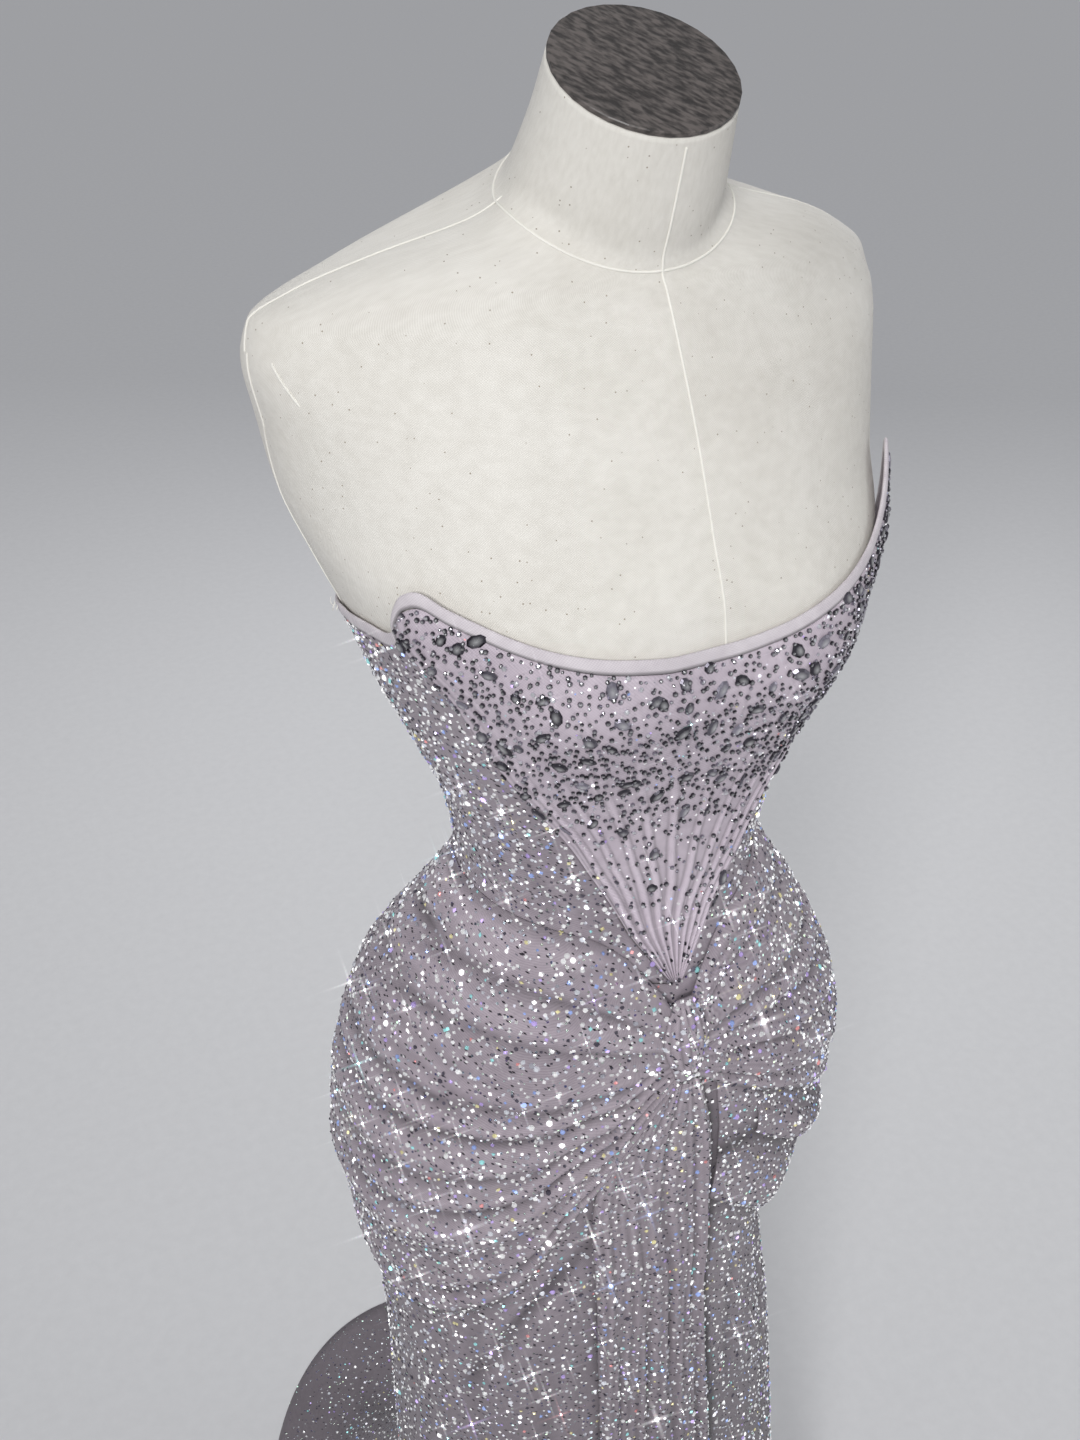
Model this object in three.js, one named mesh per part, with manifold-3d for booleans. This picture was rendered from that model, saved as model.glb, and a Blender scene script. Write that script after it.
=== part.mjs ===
// A strapless evening gown with a boned bodice, a draped skirt and a train, worn by a limbless dress form.
// Millimetres, +Z up. The origin is on the floor under the pole; the front faces -Y and the form's left is +X.
import * as THREE from 'three';
import { mergeVertices } from 'three/addons/utils/BufferGeometryUtils.js';
import Module from 'manifold-3d';

const wasm = await Module();
wasm.setup();

// Driving dimensions
const WAIST_HEIGHT = 1080;
const SEAM_GAP = 0.3;
const CLOTH_INSIDE = 1.4;
const CLOTH_WALL = 1.8;
const DRAPE_INSIDE = 4.3;
const DRAPE_WALL = 2.0;
const BINDING_HEIGHT = 8;
const BINDING_GAP = 0.6;
const WAIST_GAP = 0.5;
const FRONT_NOTCH = 66;
const SIDE_SEAM = 118;
const ZIP_FOOT = 965;
const ZIP_HALF_GAP = 1.8;
const BUST = { out: 13, ease: 0.9, spread: 40, side: 72, height: WAIST_HEIGHT + 163 };
const CAP = { thickness: 3, radius: 49, forward: 26, tilt: THREE.MathUtils.degToRad(27.6), height: 1543 };
const PLATE = { thickness: 9, inset: 8 };
const POLE = { radius: 15, sides: 24 };
const BASE = { radius: 158, thickness: 16, edge: 4, collarRadius: 30, collarHeight: 58, sides: 32 };

// The dress form, one row for each ring from the hip end to the neck. The heights are those of the ring's
// front, side and back; the ring is widest at depth wide; powers over 2 make its quarter rounds squarer.
const FORM_COLUMNS = ['front', 'side', 'back', 'half', 'depthFront', 'depthBack', 'wide', 'powerFront', 'powerBack'];
const FORM_ROWS = [
  [800, 800, 800, 154, -78, 111, 9, 2.3, 2.3],
  [806, 806, 806, 161, -86, 118, 9, 2.3, 2.3],
  [840, 840, 840, 172, -101, 126, 9, 2.3, 2.3],
  [880, 880, 880, 176, -109, 130, 9, 2.25, 2.35],
  [930, 930, 930, 166, -112, 127, 14, 2.05, 2.4],
  [980, 980, 980, 150, -109, 118, 14, 1.95, 2.3],
  [1030, 1030, 1030, 121, -99, 92, 4, 2.0, 2.1],
  [1080, 1080, 1080, 95, -92, 72, -6, 2.1, 2.05],
  [1125, 1125, 1125, 101, -97, 80, -9, 2.2, 2.15],
  [1170, 1170, 1170, 118, -107, 95, -4, 2.15, 2.3],
  [1210, 1210, 1210, 135, -118, 104, 3, 2.1, 2.5],
  [1250, 1250, 1250, 149, -127, 110, 9, 2.2, 2.75],
  [1290, 1290, 1290, 165, -125, 114, 20, 2.3, 2.95],
  [1330, 1330, 1330, 179, -111, 116, 34, 2.0, 3.0],
  [1370, 1372, 1380, 187, -94, 114, 39, 1.9, 2.9],
  [1398, 1405, 1420, 193, -80, 104, 41, 1.75, 2.45],
  [1418, 1425, 1448, 189, -69, 92, 42, 1.65, 2.0],
  [1432, 1440, 1466, 167, -61, 81, 34, 1.75, 1.8],
  [1442, 1456, 1482, 130, -55, 68, 20, 1.9, 1.8],
  [1450, 1474, 1496, 74, -50, 58, 6, 2.0, 2.0],
  [1456, 1486, 1504, 59, -50, 50, 2, 2.0, 2.0],
  [1472, 1500, 1516, 56, -55, 41, -6, 2.0, 2.0],
  [1496, 1520, 1538, 52, -62, 29, -16, 2.0, 2.0],
];
// The last ring is the round seat of the neck's cap, in the cap's own tipped plane just under it.
const capNormal = new THREE.Vector3(0, -Math.sin(CAP.tilt), Math.cos(CAP.tilt));
const capSeat = new THREE.Vector3(0, -CAP.forward, CAP.height).addScaledVector(capNormal, -CAP.thickness - SEAM_GAP);
const seatReach = { depth: CAP.radius * Math.cos(CAP.tilt), rise: CAP.radius * Math.sin(CAP.tilt) };
FORM_ROWS.push([capSeat.z - seatReach.rise, capSeat.z, capSeat.z + seatReach.rise, CAP.radius,
  capSeat.y - seatReach.depth, capSeat.y + seatReach.depth, capSeat.y, 2.0, 2.0]);

// The surface that the gown hangs on, from the hem up to the hip, one row for each level of the cloth. The form's
// rings carry on above it. right and left are the form's own sides; the back of the lowest rows is the train.
const SKIRT_COLUMNS = ['front', 'side', 'back', 'right', 'left', 'depthFront', 'depthBack', 'wide', 'power'];
const SKIRT_ROWS = [
  [0, 0, -1.4, 262, 288, -198, 510, 26, 2.1],
  [22, 22, -1.4, 244, 272, -188, 425, 24, 2.1],
  [62, 62, 46, 222, 254, -174, 350, 20, 2.15],
  [125, 125, 128, 196, 230, -155, 275, 16, 2.2],
  [205, 205, 212, 173, 207, -135, 218, 13, 2.25],
  [300, 300, 304, 157, 191, -118, 172, 10, 2.3],
  [407, 407, 407, 150, 181, -108, 143, 9, 2.3],
  [533, 533, 533, 152, 166, -104, 133, 9, 2.3],
  [598, 598, 598, 152, 156, -104, 132, 9, 2.3],
  [660, 660, 660, 155, 144, -104, 132, 9, 2.3],
  [729, 729, 729, 160, 134, -106, 132, 9, 2.3],
  [780, 780, 780, 166, 155, -107, 132, 9, 2.3],
  [815, 815, 815, 171, 166, -107, 131, 9, 2.3],
  [845, 845, 845, 175, 173, -108, 131, 9, 2.3],
];

// The edge of the boned front panel: the angle from the front at each height, in degrees, and that of its other edge.
const FRONT_PANEL_COLUMNS = ['height', 'right', 'left'];
const FRONT_PANEL_ROWS = [
  [1022, -1.7, 1.7],
  [1042, -8, 8],
  [1066, -17, 17.5],
  [1098, -26, 30],
  [1123, -33, 35.5],
  [1148, -39.5, 41],
  [1171, -46, 45.5],
  [1194, -52, 49],
  [1227, -57, 53.5],
  [1255, -61, 58],
  [1275, -66, 66],
];
// Where the bones lie across that panel, from its right edge, -1, to its left edge, 1.
const BONES = [-0.88, -0.7, -0.5, -0.31, -0.12, 0.08, 0.3, 0.5, 0.69, 0.86];
const BONE = { width: 7.5, height: 1.1, widest: 0.07, fade: 0.88 };
// A plain column lies this far across the panel, just inside its edges.
const PANEL_MARGIN = 0.97;

// Heights of the neckline by angle, and of the seam that joins the bodice to the skirt.
const NECKLINE_COLUMNS = ['angle', 'height'];
const NECKLINE_ROWS = [
  [-180, 1247], [-150, 1249], [-107, 1257], [-77, 1276], [-72, 1277], [-66.5, 1283], [-64, 1297],
  [-61, 1307], [-57, 1311], [-51, 1305], [-45, 1299], [-39, 1293], [-31.5, 1287], [-24, 1283], [-16, 1280],
  [-9, 1277.5], [0, 1277], [9, 1280], [16, 1284], [24, 1289], [31.5, 1294], [39, 1300], [45, 1308],
  [51, 1321], [56, 1335], [58.5, 1338], [61, 1329], [64, 1307], [66.5, 1284], [72, 1277], [77, 1276],
  [107, 1257], [150, 1249], [180, 1247],
];
const WAIST_SEAM_COLUMNS = ['angle', 'height'];
const WAIST_SEAM_ROWS = [[0, 1021], [8, 1026], [20, 1042], [40, 1058], [70, 1066], [118, 1072], [180, 1074]];

// Lines that bound the draped pieces: heights by angle.
const RIGHT_DRAPE_TOP = [[0, 1000], [2, 1006], [8, 1027], [17, 1048], [30, 1062], [60, 1070], [118, 1078]];
const RIGHT_DRAPE_LOW = [[0, 958], [4, 939], [8, 920], [15, 877], [23, 841], [31.5, 797], [45, 764], [62, 743],
  [80, 736], [100, 744], [118, 765]];
const CASCADE_TOP = [[0, 1000], [2, 1006], [9, 1029], [18, 1048], [30, 1060], [60, 1070], [118, 1076]];
const UPPER_LOW = [[0, 958], [2, 955], [12, 930], [26, 898], [40, 868], [55, 846], [70, 836], [85, 838], [118, 862]];
const MIDDLE_LOW = [[20, 862], [30, 836], [45, 815], [60, 806], [80, 804], [100, 815], [118, 830]];
const LOWER_LOW = [[10.5, 812], [20, 788], [30, 768], [45, 747], [62, 737], [80, 743], [100, 765], [118, 785]];
// Each lower fold starts this far under the one above. The folds stand out over rise degrees, and behind sideOn they
// sink to a share of it.
const CASCADE = { tucked: 18, rise: 20, sideOn: 90, behind: 0.4, upperFrom: 8, lowerFrom: 20 };

// How far the folded cloth on the left hip stands off the skirt at each height.
const UPPER_STAND_OFF = [[836, 5], [850, 5], [885, 7], [924, 11], [943, 10], [975, 3], [1014, 0], [1060, 0]];
// The two folds below it stand off by how far down each one the point is, from 0 to 1.
const MIDDLE_STAND_OFF = [[0, 0], [0.37, 0], [0.5, 4], [0.75, 12], [1, 8.5]];
const LOWER_STAND_OFF = [[0, 0], [0.26, 0], [0.5, 5], [0.75, 5], [1, 2.5]];

const SKIRT_LEVELS = [880, 845, 805, 765, 729, 690, 620, 520, 420, 330, 250, 175, 110, 62, 22, 0];
// Soft flutes that deepen towards the hem: two waves round the skirt, with their counts, shares and turns in degrees.
const FLUTE = { out: 15, from: 420, full: 60 };
const FLUTE_WAVES = [{ count: 9, share: 0.6, turn: 34 }, { count: 5, share: 0.4, turn: -63 }];
// The train lies flat, so the flutes fade out behind these angles and below these heights.
const TRAIN = { angleFrom: 95, angleTo: 140, low: 22, high: 90 };

// Curves and surfaces

// Turns rows into one list for each named column.
function columnsOf(names, rows) {
  return Object.fromEntries(names.map((name, k) => [name, rows.map((row) => row[k])]));
}

// A smooth curve through (key, value) pairs that never overshoots between them.
function track(keys, values) {
  const last = keys.length - 1;
  const slopes = keys.slice(1).map((key, i) => (values[i + 1] - values[i]) / (key - keys[i]));
  const tangents = keys.map((_, i) => {
    if (i === 0) return slopes[0];
    if (i === last) return slopes[last - 1];
    const product = slopes[i - 1] * slopes[i];
    return product > 0 ? (2 * product) / (slopes[i - 1] + slopes[i]) : 0;
  });
  return (key) => {
    const at = Math.min(Math.max(key, keys[0]), keys[last]);
    let i = 0;
    while (i < last - 1 && at > keys[i + 1]) i += 1;
    const span = keys[i + 1] - keys[i];
    const t = (at - keys[i]) / span;
    const s = 1 - t;
    return (1 + 2 * t) * s * s * values[i] + t * s * s * span * tangents[i]
      + t * t * (3 - 2 * t) * values[i + 1] - t * t * s * span * tangents[i + 1];
  };
}

function trackOf(rows) {
  return track(rows.map((row) => row[0]), rows.map((row) => row[1]));
}

const mix = THREE.MathUtils.lerp;
const smooth = (x, low, high) => THREE.MathUtils.smoothstep(x, low, high);
const radians = THREE.MathUtils.degToRad;

const formTable = columnsOf(FORM_COLUMNS, FORM_ROWS);
const form = Object.fromEntries(FORM_COLUMNS.map((name) => [name, track(formTable.side, formTable[name])]));

// The hip's rings and up are the form's, so both tables run on in one.
const hangTable = (() => {
  const skirt = columnsOf(SKIRT_COLUMNS, SKIRT_ROWS);
  const rings = columnsOf(FORM_COLUMNS, FORM_ROWS.filter((row) => row[1] >= 880 && row[1] < 1380));
  const joined = (low, high) => [...skirt[low], ...rings[high]];
  return {
    front: joined('front', 'front'),
    side: joined('side', 'side'),
    back: joined('back', 'back'),
    right: joined('right', 'half'),
    left: joined('left', 'half'),
    depthFront: joined('depthFront', 'depthFront'),
    depthBack: joined('depthBack', 'depthBack'),
    wide: joined('wide', 'wide'),
    powerFront: joined('power', 'powerFront'),
    powerBack: joined('power', 'powerBack'),
  };
})();
const hang = Object.fromEntries(
  Object.keys(hangTable).map((name) => [name, track(hangTable.side, hangTable[name])]),
);

// How far the bust stands out of its ring.
function bustOut(x, z, out) {
  const lobe = (side) => Math.exp(-((x - side) ** 2 + (z - BUST.height) ** 2) / (2 * BUST.spread ** 2));
  return out * (lobe(BUST.side) + lobe(-BUST.side));
}

// Shoulder rings dip in front and behind with the square of the cosine, and neck rings are tipped planes.
const SHOULDER_TOP = 1456;

// A point of a ring: four quarter rounds of their own widths, depths and powers. angle 0 is the front.
function ringPoint(angle, ring) {
  const turn = radians(angle);
  const s = Math.sin(turn);
  const c = Math.cos(turn);
  const isFront = c > 0;
  const power = 2 / (isFront ? ring.powerFront : ring.powerBack);
  const width = s > 0 ? ring.left : ring.right;
  const depth = isFront ? ring.depthFront : ring.depthBack;
  const x = width * Math.sign(s) * Math.abs(s) ** power;
  const y = ring.wide + (depth - ring.wide) * Math.abs(c) ** power;
  const slope = mix(2, 1, smooth(ring.side, SHOULDER_TOP, capSeat.z));
  const z = ring.side + ((isFront ? ring.front : ring.back) - ring.side) * Math.abs(c) ** slope;
  return new THREE.Vector3(x, isFront ? y - bustOut(x, z, ring.bust) : y, z);
}

// A point of the form's skin.
function formPoint(angle, level) {
  return ringPoint(angle, {
    front: form.front(level),
    side: form.side(level),
    back: form.back(level),
    right: form.half(level),
    left: form.half(level),
    depthFront: form.depthFront(level),
    depthBack: form.depthBack(level),
    wide: form.wide(level),
    powerFront: form.powerFront(level),
    powerBack: form.powerBack(level),
    bust: BUST.out,
  });
}

// Over the bust the bodice stands up straighter than the chest, most of all at the two points of the neckline.
const UPRIGHT = { from: 1288, follow: 0.35, top: 1338 };
const POINTS = { out: 4, angle: 58, spread: 11, riseFrom: 1233, riseTo: 1280, kept: 0.2 };

// A point of the surface that the gown's cloth is laid on.
function hangPoint(angle, level) {
  const held = level > UPRIGHT.from ? mix(UPRIGHT.from, level, UPRIGHT.follow) : level;
  const point = ringPoint(angle, {
    front: hang.front(level),
    side: hang.side(level),
    back: hang.back(level),
    right: hang.right(held),
    left: hang.left(held),
    depthFront: hang.depthFront(held),
    depthBack: hang.depthBack(level),
    wide: hang.wide(held),
    powerFront: hang.powerFront(held),
    powerBack: hang.powerBack(level),
    bust: BUST.out + BUST.ease,
  });
  const away = Math.abs(angle);
  const nearPoint = Math.exp(-(((away - POINTS.angle) / POINTS.spread) ** 2));
  const stand = POINTS.out * nearPoint * smooth(level, POINTS.riseFrom, POINTS.riseTo)
    * mix(1, POINTS.kept, smooth(level, UPRIGHT.from, UPRIGHT.top));
  const wave = FLUTE_WAVES.reduce((sum, { count, share, turn }) => (
    sum + share * Math.cos(radians(count * angle + turn))
  ), 0);
  const lying = smooth(away, TRAIN.angleFrom, TRAIN.angleTo) * (1 - smooth(level, TRAIN.low, TRAIN.high));
  const flute = FLUTE.out * wave * (1 - smooth(level, FLUTE.full, FLUTE.from)) * (1 - lying);
  const outward = new THREE.Vector3(point.x, point.y - hang.wide(level), 0).normalize();
  return point.addScaledVector(outward, stand + flute);
}

// The surface's outward normal, from its slopes along the ring and up the cloth.
function hangNormal(angle, level) {
  const along = hangPoint(angle + 0.4, level).sub(hangPoint(angle - 0.4, level));
  const up = hangPoint(angle, level + 1.5).sub(hangPoint(angle, level - 1.5));
  return along.cross(up).normalize();
}

// A point laid on that surface and moved out along its normal.
function laid(angle, level, out) {
  return hangPoint(angle, level).addScaledVector(hangNormal(angle, level), out);
}

// The angle that a seam's half gap takes up at a height.
function gapAngle(angle, level, gap) {
  const perDegree = hangPoint(angle + 0.5, level).distanceTo(hangPoint(angle - 0.5, level));
  return gap / perDegree;
}

// Closed bodies

function meshOf(name, material, positions, faces) {
  const geometry = new THREE.BufferGeometry();
  geometry.setAttribute('position', new THREE.Float32BufferAttribute(positions.flatMap((p) => [p.x, p.y, p.z]), 3));
  geometry.setIndex(faces.flat());
  geometry.computeVertexNormals();
  const mesh = new THREE.Mesh(geometry, material);
  mesh.name = name;
  return mesh;
}

// A cloth wall over a grid of columns and rows. at(i, j) gives its outer and inner point; columns run towards the
// form's left and rows run up.
function clothWall(name, material, columns, rows, at) {
  const outer = [];
  const inner = [];
  for (let j = 0; j <= rows; j += 1) {
    for (let i = 0; i <= columns; i += 1) {
      const pair = at(i, j);
      outer.push(pair.outer);
      inner.push(pair.inner);
    }
  }
  const across = columns + 1;
  const half = outer.length;
  const faces = [];
  const quad = (a, b, c, d) => faces.push([a, b, c], [a, c, d]);
  for (let j = 0; j < rows; j += 1) {
    for (let i = 0; i < columns; i += 1) {
      const a = j * across + i;
      quad(a, a + 1, a + across + 1, a + across);
      quad(half + a, half + a + across, half + a + across + 1, half + a + 1);
    }
  }
  for (let i = 0; i < columns; i += 1) {
    const low = i;
    const high = rows * across + i;
    quad(low, half + low, half + low + 1, low + 1);
    quad(high, high + 1, half + high + 1, half + high);
  }
  for (let j = 0; j < rows; j += 1) {
    const first = j * across;
    const last = first + columns;
    quad(first, first + across, half + first + across, half + first);
    quad(last, half + last, half + last + across, last + across);
  }
  return meshOf(name, material, [...outer, ...inner], faces);
}

// A closed body through rings of the same number of points, each ring running round +Z as seen from above.
function ringBody(name, material, rings) {
  const count = rings[0].length;
  const positions = rings.flat();
  const faces = [];
  for (let j = 0; j < rings.length - 1; j += 1) {
    for (let i = 0; i < count; i += 1) {
      const a = j * count + i;
      const b = j * count + ((i + 1) % count);
      faces.push([a, b, b + count], [a, b + count, a + count]);
    }
  }
  const close = (ring, start, isTop) => {
    const centre = positions.length;
    positions.push(ring.reduce((sum, p) => sum.add(p), new THREE.Vector3()).divideScalar(count));
    for (let i = 0; i < count; i += 1) {
      const next = (i + 1) % count;
      faces.push(isTop ? [start + i, start + next, centre] : [start + next, start + i, centre]);
    }
  };
  close(rings[0], 0, false);
  close(rings[rings.length - 1], (rings.length - 1) * count, true);
  return meshOf(name, material, positions, faces);
}

// Joins and cuts of plain shapes

function solidOf(geometry) {
  const bare = geometry.clone();
  bare.deleteAttribute('normal');
  bare.deleteAttribute('uv');
  const merged = mergeVertices(bare, 1e-4);
  return new wasm.Manifold(new wasm.Mesh({
    numProp: 3,
    vertProperties: new Float32Array(merged.attributes.position.array),
    triVerts: new Uint32Array(merged.index.array),
  }));
}

function meshOfSolid(name, material, solid) {
  const { vertProperties, triVerts } = solid.getMesh();
  const geometry = new THREE.BufferGeometry();
  geometry.setAttribute('position', new THREE.BufferAttribute(new Float32Array(vertProperties), 3));
  geometry.setIndex(new THREE.BufferAttribute(new Uint32Array(triVerts), 1));
  geometry.computeVertexNormals();
  const mesh = new THREE.Mesh(geometry, material);
  mesh.name = name;
  return mesh;
}

// Materials

const paint = (color, roughness, metalness) => new THREE.MeshStandardMaterial({ color, roughness, metalness });
const linen = paint(0xe4dfd6, 0.85, 0);
const capWood = paint(0x4a443e, 0.6, 0);
const steel = paint(0xb9bbbd, 0.35, 0.9);
const tulle = paint(0xc6bcc8, 0.7, 0);
const crystalCloth = paint(0xaaa3b1, 0.45, 0.1);
const drapeCloth = paint(0xb5adba, 0.45, 0.1);
const bindingCloth = paint(0xd6cfd2, 0.8, 0);
const zipMetal = paint(0xc2c2c6, 0.3, 0.9);

// The dress form and its stand

const FORM_SIDES = 36;
const FORM_LEVELS = [800, 806, 830, 855, 880, 905, 930, 955, 980, 1003, 1024, 1044, 1060, 1071, 1082, 1098, 1118, 1142, 1168,
  1194, 1220, 1246, 1272, 1298, 1330, 1358, 1385, 1405, 1425, 1440, 1456, 1474, 1492, 1518, capSeat.z];

function makeForm() {
  const rings = FORM_LEVELS.map((level) => Array.from(
    { length: FORM_SIDES },
    (_, i) => formPoint((360 * i) / FORM_SIDES, level),
  ));
  return ringBody('form_torso', linen, rings);
}

// A thin turned disc that closes the neck, tipped forward as the neck is.
function makeNeckCap() {
  const edge = 0.5;
  const profile = [[0, 0], [CAP.radius - edge, 0], [CAP.radius, edge], [CAP.radius, CAP.thickness - edge],
    [CAP.radius - edge, CAP.thickness], [0, CAP.thickness]].map(([r, h]) => new THREE.Vector2(r, h));
  const disc = new THREE.Mesh(new THREE.LatheGeometry(profile, 30), capWood);
  disc.geometry.rotateX(Math.PI / 2);
  disc.name = 'neck_cap';
  disc.rotation.x = CAP.tilt;
  disc.position.copy(capSeat).addScaledVector(capNormal, SEAM_GAP);
  return disc;
}

function makeBottomPlate() {
  const count = 48;
  const outline = Array.from({ length: count }, (_, i) => {
    const p = formPoint((360 * i) / count, 800);
    const length = Math.hypot(p.x, p.y);
    return new THREE.Vector2(p.x, p.y).multiplyScalar((length - PLATE.inset) / length);
  });
  const plate = new THREE.ExtrudeGeometry(new THREE.Shape(outline), { depth: PLATE.thickness, bevelEnabled: false });
  const mesh = new THREE.Mesh(plate, capWood);
  mesh.name = 'bottom_plate';
  mesh.position.z = FORM_LEVELS[0] - SEAM_GAP - PLATE.thickness;
  return mesh;
}

function makePole() {
  const low = BASE.collarHeight + SEAM_GAP;
  const high = FORM_LEVELS[0] - 2 * SEAM_GAP - PLATE.thickness;
  const pole = new THREE.Mesh(new THREE.CylinderGeometry(POLE.radius, POLE.radius, high - low, POLE.sides), steel);
  pole.name = 'stand_pole';
  pole.rotation.x = Math.PI / 2;
  pole.position.z = (low + high) / 2;
  return pole;
}

function makeBase() {
  const profile = [
    [0, 0],
    [BASE.radius - BASE.edge, 0],
    [BASE.radius, BASE.edge],
    [BASE.radius, BASE.thickness - BASE.edge],
    [BASE.radius - BASE.edge, BASE.thickness],
    [BASE.collarRadius + BASE.edge, BASE.thickness + BASE.edge],
    [BASE.collarRadius, BASE.thickness + 3 * BASE.edge],
    [BASE.collarRadius - BASE.edge, BASE.collarHeight],
    [0, BASE.collarHeight],
  ].map(([r, h]) => new THREE.Vector2(r, h));
  const base = new THREE.Mesh(new THREE.LatheGeometry(profile, BASE.sides), steel);
  base.name = 'stand_base';
  base.rotation.x = Math.PI / 2;
  return base;
}

// The bodice

const frontPanel = columnsOf(FRONT_PANEL_COLUMNS, FRONT_PANEL_ROWS);
const frontEdge = {
  right: track(frontPanel.height, frontPanel.right),
  left: track(frontPanel.height, frontPanel.left),
};
const necklineTable = columnsOf(NECKLINE_COLUMNS, NECKLINE_ROWS);
const neckline = track(necklineTable.angle, necklineTable.height);
const waistTable = columnsOf(WAIST_SEAM_COLUMNS, WAIST_SEAM_ROWS);
const waistSeam = track(waistTable.angle, waistTable.height);
const PANEL_FOOT = FRONT_PANEL_ROWS[0][0];
const PANEL_ROWS = 12;
const panelTop = (angle) => neckline(angle) - BINDING_HEIGHT - BINDING_GAP;

function clothPair(angle, level, raised = 0) {
  return {
    outer: laid(angle, level, CLOTH_INSIDE + CLOTH_WALL + raised),
    inner: laid(angle, level, CLOTH_INSIDE),
  };
}

// How wide the boned panel is at a height, in millimetres.
function panelWidth(level) {
  const middle = hangPoint(0.5, level).distanceTo(hangPoint(-0.5, level));
  return middle * (frontEdge.left(level) - frontEdge.right(level));
}

// The half width of a bone's channel as a share of the panel's half width.
function channelShare(level) {
  return Math.min(BONE.width / panelWidth(level), BONE.widest);
}

// Each bone's channel takes three columns, its middle one raised. A plain column lies between two channels.
const frontColumns = (() => {
  const columns = [{ bone: -1, side: 0 }, { bone: -PANEL_MARGIN, side: 0 }];
  BONES.forEach((bone, k) => {
    [-1, 0, 1].forEach((side) => columns.push({ bone, side, isRaised: side === 0 }));
    if (k < BONES.length - 1) columns.push({ bone: (bone + BONES[k + 1]) / 2, side: 0 });
  });
  columns.push({ bone: PANEL_MARGIN, side: 0 }, { bone: 1, side: 0 });
  return columns;
})();

// The angle of each of those columns at the neckline.
const frontTopAngles = frontColumns.map(({ bone, side }) => (
  FRONT_NOTCH * (bone + side * channelShare(panelTop(bone * FRONT_NOTCH)))
));

function makeFrontCentre() {
  return clothWall('bodice_front_centre', tulle, frontColumns.length - 1, PANEL_ROWS, (i, j) => {
    const { bone, side, isRaised } = frontColumns[i];
    const up = j / PANEL_ROWS;
    const level = mix(PANEL_FOOT, panelTop(frontTopAngles[i]), up);
    const right = frontEdge.right(level) + gapAngle(frontEdge.right(level), level, SEAM_GAP);
    const left = frontEdge.left(level) - gapAngle(frontEdge.left(level), level, SEAM_GAP);
    const across = (bone + side * channelShare(level) + 1) / 2;
    const shown = 1 - smooth(up, BONE.fade, 1);
    return clothPair(mix(right, left, across), level, isRaised ? BONE.height * shown : 0);
  });
}

const SIDE_COLUMNS = 10;
// A side panel's top edge leaves the height of the front panel's over this share of its width.
const PANEL_BLEND = 1 / SIDE_COLUMNS;
const BACK_COLUMNS = 6;

// side is -1 for the form's right and 1 for its left.
function makeSidePanel(name, side) {
  const columns = SIDE_COLUMNS;
  const edge = side < 0 ? frontEdge.right : frontEdge.left;
  const notch = panelTop(side * FRONT_NOTCH);
  return clothWall(name, crystalCloth, columns, PANEL_ROWS, (i, j) => {
    const away = side < 0 ? 1 - i / columns : i / columns;
    const up = j / PANEL_ROWS;
    const footAngle = mix(edge(PANEL_FOOT), side * SIDE_SEAM, away);
    const topAngle = mix(edge(notch), side * SIDE_SEAM, away);
    const foot = away === 0 ? PANEL_FOOT : waistSeam(Math.abs(footAngle)) + WAIST_GAP;
    const level = mix(foot, mix(notch, panelTop(topAngle), smooth(away, 0, PANEL_BLEND)), up);
    const frontLevel = mix(PANEL_FOOT, notch, up);
    const near = edge(frontLevel) + side * gapAngle(edge(frontLevel), frontLevel, SEAM_GAP);
    const far = side * (SIDE_SEAM - gapAngle(SIDE_SEAM, level, SEAM_GAP / 2));
    return clothPair(mix(near, far, away), level);
  });
}

// The half gap at the centre back is wider where the zip lies between the two edges.
function backHalfGap(level) {
  return level > ZIP_FOOT ? ZIP_HALF_GAP : SEAM_GAP / 2;
}

function makeBackPanel(name, side) {
  const columns = BACK_COLUMNS;
  const rows = 9;
  return clothWall(name, crystalCloth, columns, rows, (i, j) => {
    const away = side < 0 ? i / columns : 1 - i / columns;
    const angleAt = (level) => mix(
      180 - gapAngle(180, level, backHalfGap(level)),
      SIDE_SEAM + gapAngle(SIDE_SEAM, level, SEAM_GAP / 2),
      away,
    );
    const rough = mix(180, SIDE_SEAM, away);
    const level = mix(waistSeam(rough) + WAIST_GAP, panelTop(rough), j / rows);
    return clothPair(side * angleAt(level), level);
  });
}

// A folded strip round the top edge: a rounded section carried along the neckline.
const BINDING_SECTION = [[1.2, 0], [3.4, 0], [4, 0.3], [3.2, 1], [1.8, 1], [1.2, 0.75]];

// The angles are those of the panels' columns, so that the strip sits on their top edges. gaps has the room, in
// millimetres, that each of its two ends is drawn in by.
function makeBinding(name, angles, gaps) {
  const count = BINDING_SECTION.length;
  const steps = angles.length - 1;
  const drawnIn = [0, steps].map((k, end) => gapAngle(angles[k], panelTop(angles[k]), gaps[end]));
  const positions = [];
  angles.forEach((angle, k) => {
    const ends = (k === 0 ? drawnIn[0] : 0) - (k === steps ? drawnIn[1] : 0);
    BINDING_SECTION.forEach(([out, height]) => {
      positions.push(laid(angle + ends, neckline(angle) - BINDING_HEIGHT * (1 - height), out));
    });
  });
  const faces = [];
  for (let k = 0; k < steps; k += 1) {
    for (let i = 0; i < count; i += 1) {
      const a = k * count + i;
      const b = k * count + ((i + 1) % count);
      faces.push([a, a + count, b + count], [a, b + count, b]);
    }
  }
  for (let i = 1; i < count - 1; i += 1) {
    const end = steps * count;
    faces.push([0, i, i + 1], [end, end + i + 1, end + i]);
  }
  return meshOf(name, bindingCloth, positions, faces);
}

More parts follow.
